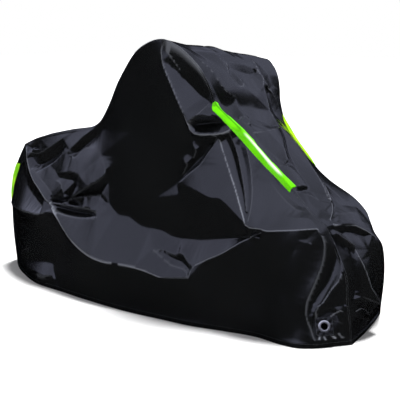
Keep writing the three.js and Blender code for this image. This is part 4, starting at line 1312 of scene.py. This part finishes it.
def prismatic_tape(name, colour):
    material, tree, shader = new_material(f"prismatic reflective tape, {name}", {
        "Roughness": 0.4, "IOR": 1.5, "Specular IOR Level": 0.15, "Coat Weight": 0.1, "Coat Roughness": 0.1})
    tape = add_node(tree, "Attribute", {"attribute_name": "tape"}).outputs["Vector"]
    cells = add_node(tree, "TexVoronoi", {"Scale": 1 / PRISM, "Randomness": 0.0}, {"Vector": tape})
    cells = cells.outputs["Distance"]
    edge = add_node(tree, "MapRange", {"From Min": 0.2, "From Max": 0.7}, {"Value": cells})
    wear_and_highlight = add_node(tree, "TexNoise", {"Scale": 1 / WORN_PATCH, "Detail": 4.0}, {"Vector": tape})
    wear_and_highlight = add_node(tree, "MapRange", {"From Min": 0.45, "From Max": 0.8}, {"Value": wear_and_highlight.outputs["Fac"]})
    body = add_node(tree, "Mix", {
        "data_type": "RGBA", 6: linear(colour), 7: linear("#5FD000")}, {0: wear_and_highlight.outputs["Result"]}).outputs[2]
    body = add_node(tree, "Mix", {"data_type": "RGBA", "blend_type": "MULTIPLY", 0: 0.25}, {
        6: body, 7: edge.outputs["Result"]}).outputs[2]
    # painted shade in dark green down the crest near the start, painted highlight in near white farther along
    crest = add_node(tree, "Attribute", {"attribute_name": "crest_highlight_and_shade"}).outputs["Fac"]
    crease_shade = add_node(tree, "MapRange", {"From Max": -1.0}, {"Value": crest}).outputs["Result"]
    body = add_node(tree, "Mix", {
        "data_type": "RGBA", 7: linear("#226400")}, {0: crease_shade, 6: body}).outputs[2]
    crest_highlight = add_node(tree, "MapRange", links={"Value": crest}).outputs["Result"]
    body = add_node(tree, "Mix", {"data_type": "RGBA", 7: linear("#F4FFE4")}, {0: crest_highlight, 6: body}).outputs[2]
    tree.links.new(body, shader.inputs["Base Color"])
    bump = add_node(tree, "Bump", {"Strength": 0.15, "Distance": 0.1 * MM}, {"Height": cells})
    tree.links.new(bump.outputs[0], shader.inputs["Normal"])
    return material


print("a prism is drawn", PRISM, "mm across")

# %% [markdown]
# ## The four strips
# A front strip starts and stops at a length along the cover, and a rear one at a height. Each has a green
# of its own, painted lighter or darker as the light falls on it: lit and shaded copies of one tape.
# Reflections leave the rear strips out, because the glossy fold beside a strip would show it a second time.

# %% The four strips
STRIP_CLOTH = 0.5
# solid: side, edge, start, stop, slant of the start, colour with that strip's painted light or shade
STRIPS = {
    "front_right_strip": ("right", "top", 420, 800, 12, "#74EE00"),
    "front_left_strip": ("left", "top", 300, 560, 0, "#B4F000"),
    "rear_right_strip": ("right", "rear", 306, 536, 0, "#A4F000"),
    "rear_left_strip": ("left", "rear", 330, 560, 0, "#A4F000"),
}

for name, (side, edge, start, stop, slant, colour) in STRIPS.items():
    grid, tape = strip_grid(side, edge, start, stop, slant)
    faces = grid_faces(grid, SIDES[side]["out"])
    piece = new_mesh(name.replace("strip", "tape"), centred(grid), faces, prismatic_tape(name, colour))
    keep(piece, "tape", tape, "FLOAT_VECTOR")
    keep(piece, "crest_highlight_and_shade", crest_highlight_and_shade(tape))
    thicken(piece, STRIP_CLOTH)
    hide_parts(name)
    piece.visible_glossy = edge != "rear"
    print(piece.name, len(faces), "triangles on its outside,", round(tape[-1, 0, 0]), "mm long")

# %% [markdown]
# ## Lock holes
# A metal ring is clamped through the cloth on each side of the front wheel, so that a lock can pass through
# both. The cloth is doubled there by a sewn square with round corners. It is made of rings of points, from
# the hole out to the square, and puckers a little between them.

# %% Patch shape
PATCH_HALF = 38
PATCH_CORNER = 8
PATCH_LIFT = 1.1
PATCH_CLOTH = 0.7
PATCH_RINGS = 12
PATCH_PUCKER = 0.35
RING_BARREL = 16.5
ROUND_STEPS = 96


def on_hole(side, points):
    """Points drawn level, up and out from a lock hole, put in place."""
    middle, face = lock_hole(side)
    level = unit(np.cross([0, 0, 1], face))
    return middle + points @ np.array([level, np.cross(face, level), face])


def rounded_square(half, corner, turns):
    """Points of a square with round corners, one for each turn from the middle."""
    power = 2 + 3 * (half / corner - 1)
    x = np.cos(turns)
    y = np.sin(turns)
    reach = half / (np.abs(x) ** power + np.abs(y) ** power) ** (1 / power)
    return np.stack([x * reach, y * reach], -1)


def loop_faces(rows, columns, closed=False):
    """Faces between rings of points, each ring closed, and the last joined to the first if closed."""
    ids = np.arange(rows * columns).reshape(rows, columns)
    inner = ids if closed else ids[:-1]
    outer = np.roll(ids, -1, axis=0) if closed else ids[1:]
    corners = [inner, np.roll(inner, -1, axis=1), np.roll(outer, -1, axis=1), outer]
    return np.stack(corners, -1).reshape(-1, 4)


def patch_points():
    """Rings of points from the hole in a patch to its square edge, on its outside."""
    turns = np.linspace(0, math.tau, ROUND_STEPS, endpoint=False)
    outline = rounded_square(PATCH_HALF, PATCH_CORNER, turns)
    hole = np.stack([np.cos(turns), np.sin(turns)], -1) * (RING_BARREL + 0.3)
    share = np.linspace(0, 1, PATCH_RINGS)[:, None]
    flat = hole + (outline - hole) * share[..., None]
    pucker = PATCH_PUCKER * np.sin(9 * turns) * np.sin(math.pi * share) ** 2
    return np.concatenate([flat, (PATCH_LIFT + pucker)[..., None]], -1)


print("a patch is", 2 * PATCH_HALF, "mm across")

# %% [markdown]
# The ring has two round flanges, rolled over a short barrel. It is turned from one closed profile.

# %% Ring shape
RING_HOLE = 14
RING_OUTSIDE = 25
RING_FLANGE = 1.8
RING_BACK = -2.4
BEND_STEPS = 9


def bend(radius, level, start, stop):
    """An arc of a ring's rolled edge, as distances from its axis and levels."""
    turns = np.radians(np.linspace(start, stop, BEND_STEPS))
    return np.stack([radius + RING_FLANGE / 2 * np.cos(turns), level + RING_FLANGE / 2 * np.sin(turns)], -1)


def ring_points():
    """Circles of points round a ring, one for each point of its closed profile."""
    half = RING_FLANGE / 2
    front = PATCH_LIFT + 0.3
    profile = np.concatenate([
        bend(RING_OUTSIDE - half, front + half, -90, 90),
        bend(RING_HOLE + half, front + half, 90, 180),
        bend(RING_HOLE + half, RING_BACK - half, 180, 270),
        bend(RING_OUTSIDE - half, RING_BACK - half, -90, 90),
        [(RING_BARREL, RING_BACK), (RING_BARREL, front)]])
    turns = np.linspace(0, math.tau, ROUND_STEPS, endpoint=False)
    radius = profile[:, :1]
    level = np.broadcast_to(profile[:, 1:], (len(profile), ROUND_STEPS))
    return np.stack([radius * np.cos(turns), radius * np.sin(turns), level], -1)


print("a ring is", 2 * RING_OUTSIDE, "mm across, with a hole of", 2 * RING_HOLE, "mm")

# %% [markdown]
# ## Nickel plate
# The ring is pressed brass with a nickel plate. Nickel is a warm, light grey metal. The plate is polished
# by the press, and worn a little dull in spots.

# %% Nickel plate
WEAR_SCALE = 300.0


def nickel_plate():
    material, tree, shader = new_material("nickel-plated brass", {
        "Base Color": linear("#E4E2DC"), "Metallic": 1.0})
    place = add_node(tree, "TexCoord").outputs["Object"]
    wear_and_highlight = add_node(tree, "TexNoise", {"Scale": WEAR_SCALE, "Detail": 3.0}, {"Vector": place}).outputs["Fac"]
    rough = add_node(tree, "MapRange", {"To Min": 0.14, "To Max": 0.3}, {"Value": wear_and_highlight}).outputs["Result"]
    tree.links.new(rough, shader.inputs["Roughness"])
    bump = add_node(tree, "Bump", {"Strength": 0.05, "Distance": 0.1 * MM}, {"Height": wear_and_highlight})
    tree.links.new(bump.outputs[0], shader.inputs["Normal"])
    return material


nickel = nickel_plate()
print(nickel.name, "has", len(nickel.node_tree.nodes), "nodes")

# %% The two lock holes
PATCH_STITCH_INSET = 4

for side in SIDES:
    flat = patch_points()
    faces = loop_faces(PATCH_RINGS, ROUND_STEPS)[:, ::-1]
    patch = new_mesh(f"{side}_sewn_patch", centred(on_hole(side, flat)), faces, cloth)
    keep(patch, "cut", flat * (1, 1, 0), "FLOAT_VECTOR")
    thicken(patch, PATCH_CLOTH)
    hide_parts(f"{side}_lock_patch")
    points = ring_points()
    ring = new_mesh(f"{side}_lock_eyelet", centred(on_hole(side, points)),
                    loop_faces(len(points), ROUND_STEPS, closed=True), nickel)
    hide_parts(f"{side}_lock_ring")
    turns = np.linspace(0, math.tau, ROUND_STEPS + 1)
    square = rounded_square(PATCH_HALF - PATCH_STITCH_INSET, PATCH_CORNER - PATCH_STITCH_INSET / 2, turns)
    edge = np.concatenate([square, np.full((len(turns), 1), PATCH_LIFT)], -1)
    _, face = lock_hole(side)
    points, faces = stitch_row(centred(on_hole(side, edge)), np.tile(face, (len(edge), 1)))
    stitches = new_mesh(f"{side}_patch_stitches", points, faces, thread)
    print(side, "patch, ring and", len(faces), "triangles of stitches")

# %% [markdown]


# %% [markdown]
# ## Light
# Black gloss shows its surroundings, so the surroundings make the picture. In the studio a wide soft light
# hangs overhead, and the walls near the floor are dark. The world gives this by direction, and for
# reflections alone: for each way round the cover, how high the light starts and how bright it is. The
# camera sees plain white, and dull surfaces are lit by an even grey. A soft sun, which reflections don't
# show, throws the narrow shadow beside the hem.

# %% World
# degrees round from the near side to the front, degrees up to where the light starts, brightness
SKY = [
    (-180, 8, 0.4), (-158, 13, 0.22), (-130, 34, 0.6), (-108, 8, 0.68), (-97, 14, 0.68), (-85, 18, 0.68),
    (-60, 19, 0.74), (-30, 18, 0.9), (-5, 24, 1.15), (30, 30, 1.2), (55, 33, 1.15), (75, 36, 1.1),
    (105, 36, 1.05), (130, 34, 0.9), (152, 28, 0.6), (165, 15, 0.52), (180, 8, 0.4),
]
SKY_EDGE = 7.0
BRIGHTEST = 2.0
ROOM = 0.34


def sky_ramp(tree, around):
    """A colour ramp with a stop for each row of SKY: red says how high the light starts, green how bright."""
    ramp = add_node(tree, "ValToRGB", links={0: around})
    stops = ramp.color_ramp.elements
    for k, (degrees, start, glow) in enumerate(SKY):
        place = degrees / 360 + 0.5
        stop = stops[-1] if k == len(SKY) - 1 else stops[0] if k == 0 else stops.new(place)
        stop.position = place
        stop.color = (start / 90, glow / BRIGHTEST, 0, 1)
    return ramp.outputs["Color"]


def studio_world():
    world = bpy.data.worlds.new("studio")
    world.use_nodes = True
    tree = world.node_tree
    way = add_node(tree, "TexCoord").outputs["Generated"]
    x, y, z = add_node(tree, "SeparateXYZ", links={0: way}).outputs
    near = add_node(tree, "Math", {"operation": "MULTIPLY", 1: -1.0}, {0: y}).outputs[0]
    around = add_node(tree, "Math", {"operation": "ARCTAN2"}, {0: x, 1: near}).outputs[0]
    around = add_node(tree, "MapRange", {"From Min": -math.pi, "From Max": math.pi}, {"Value": around})
    ramp = sky_ramp(tree, around.outputs["Result"])
    start, glow, _ = add_node(tree, "SeparateColor", links={0: ramp}).outputs
    rise = add_node(tree, "Math", {"operation": "ARCSINE"}, {0: z}).outputs[0]
    above = add_node(tree, "Math", {"operation": "MULTIPLY", 1: 2 / math.pi}, {0: rise}).outputs[0]
    above = add_node(tree, "Math", {"operation": "SUBTRACT"}, {0: above, 1: start}).outputs[0]
    edge = {"From Min": -SKY_EDGE / 90, "From Max": SKY_EDGE / 90, "To Max": BRIGHTEST}
    lit = add_node(tree, "MapRange", {"interpolation_type": "SMOOTHSTEP", **edge}, {"Value": above})
    sky = add_node(tree, "Math", {"operation": "MULTIPLY"}, {0: lit.outputs["Result"], 1: glow}).outputs[0]
    tint = add_node(tree, "Mix", {
        "data_type": "RGBA", "blend_type": "MULTIPLY", 0: 1.0, 7: linear("#D9DEFF")}, {6: sky})
    rays = add_node(tree, "LightPath").outputs
    dull = add_node(tree, "Mix", {"data_type": "RGBA", 6: (ROOM, ROOM, ROOM, 1.0), 7: (1.0, 1.0, 1.0, 1.0)},
                    {0: rays["Is Camera Ray"]})
    seen = add_node(tree, "Mix", {"data_type": "RGBA"}, {
        0: rays["Is Glossy Ray"], 6: dull.outputs[2], 7: tint.outputs[2]})
    tree.links.new(seen.outputs[2], tree.nodes["Background"].inputs["Color"])
    world.cycles.sampling_method = "NONE"
    bpy.context.scene.world = world


studio_world()
print("the sky has", len(SKY), "directions")

# %% Sun
SUN_STRENGTH = 6.0
SUN_SOFTNESS = 16.0
SUN_TURN = (-15, -3, 0)

sun_lamp = bpy.data.lights.new("soft_sun", "SUN")
sun_lamp.energy = SUN_STRENGTH
sun_lamp.angle = math.radians(SUN_SOFTNESS)
sun = bpy.data.objects.new("soft_sun", sun_lamp)
sun.rotation_euler = [math.radians(turn) for turn in SUN_TURN]
sun.visible_glossy = False
bpy.context.collection.objects.link(sun)
print("the sun is turned by", SUN_TURN, "degrees")

# %% [markdown]
# ## Floor
# The cover stands on matt white paper. Its fibres give it a faint unevenness, and reflections leave it out,
# so that the lower cloth stays as dark as in the studio.

# %% Floor
FLOOR_SIZE = 60.0


def white_paper():
    material, tree, shader = new_material("matt white paper", {"Roughness": 0.9, "Specular IOR Level": 0.2})
    place = add_node(tree, "TexCoord").outputs["Object"]
    fibre = add_node(tree, "TexNoise", {"Scale": 40.0, "Detail": 4.0}, {"Vector": place}).outputs["Fac"]
    colour = add_node(tree, "Mix", {
        "data_type": "RGBA", 6: linear("#F6F6F6"), 7: linear("#FAFAFA")}, {0: fibre})
    tree.links.new(colour.outputs[2], shader.inputs["Base Color"])
    return material


floor_mesh = bpy.data.meshes.new("floor")
corners = [(x * FLOOR_SIZE / 2, y * FLOOR_SIZE / 2, 0) for x, y in ((-1, -1), (1, -1), (1, 1), (-1, 1))]
floor_mesh.from_pydata(corners, [], [(0, 1, 2, 3)])
floor_mesh.materials.append(white_paper())

floor = bpy.data.objects.new("floor", floor_mesh)
floor.visible_glossy = False
bpy.context.collection.objects.link(floor)
bpy.context.scene.view_settings.view_transform = "Standard"
print("the floor is", FLOOR_SIZE, "m wide")
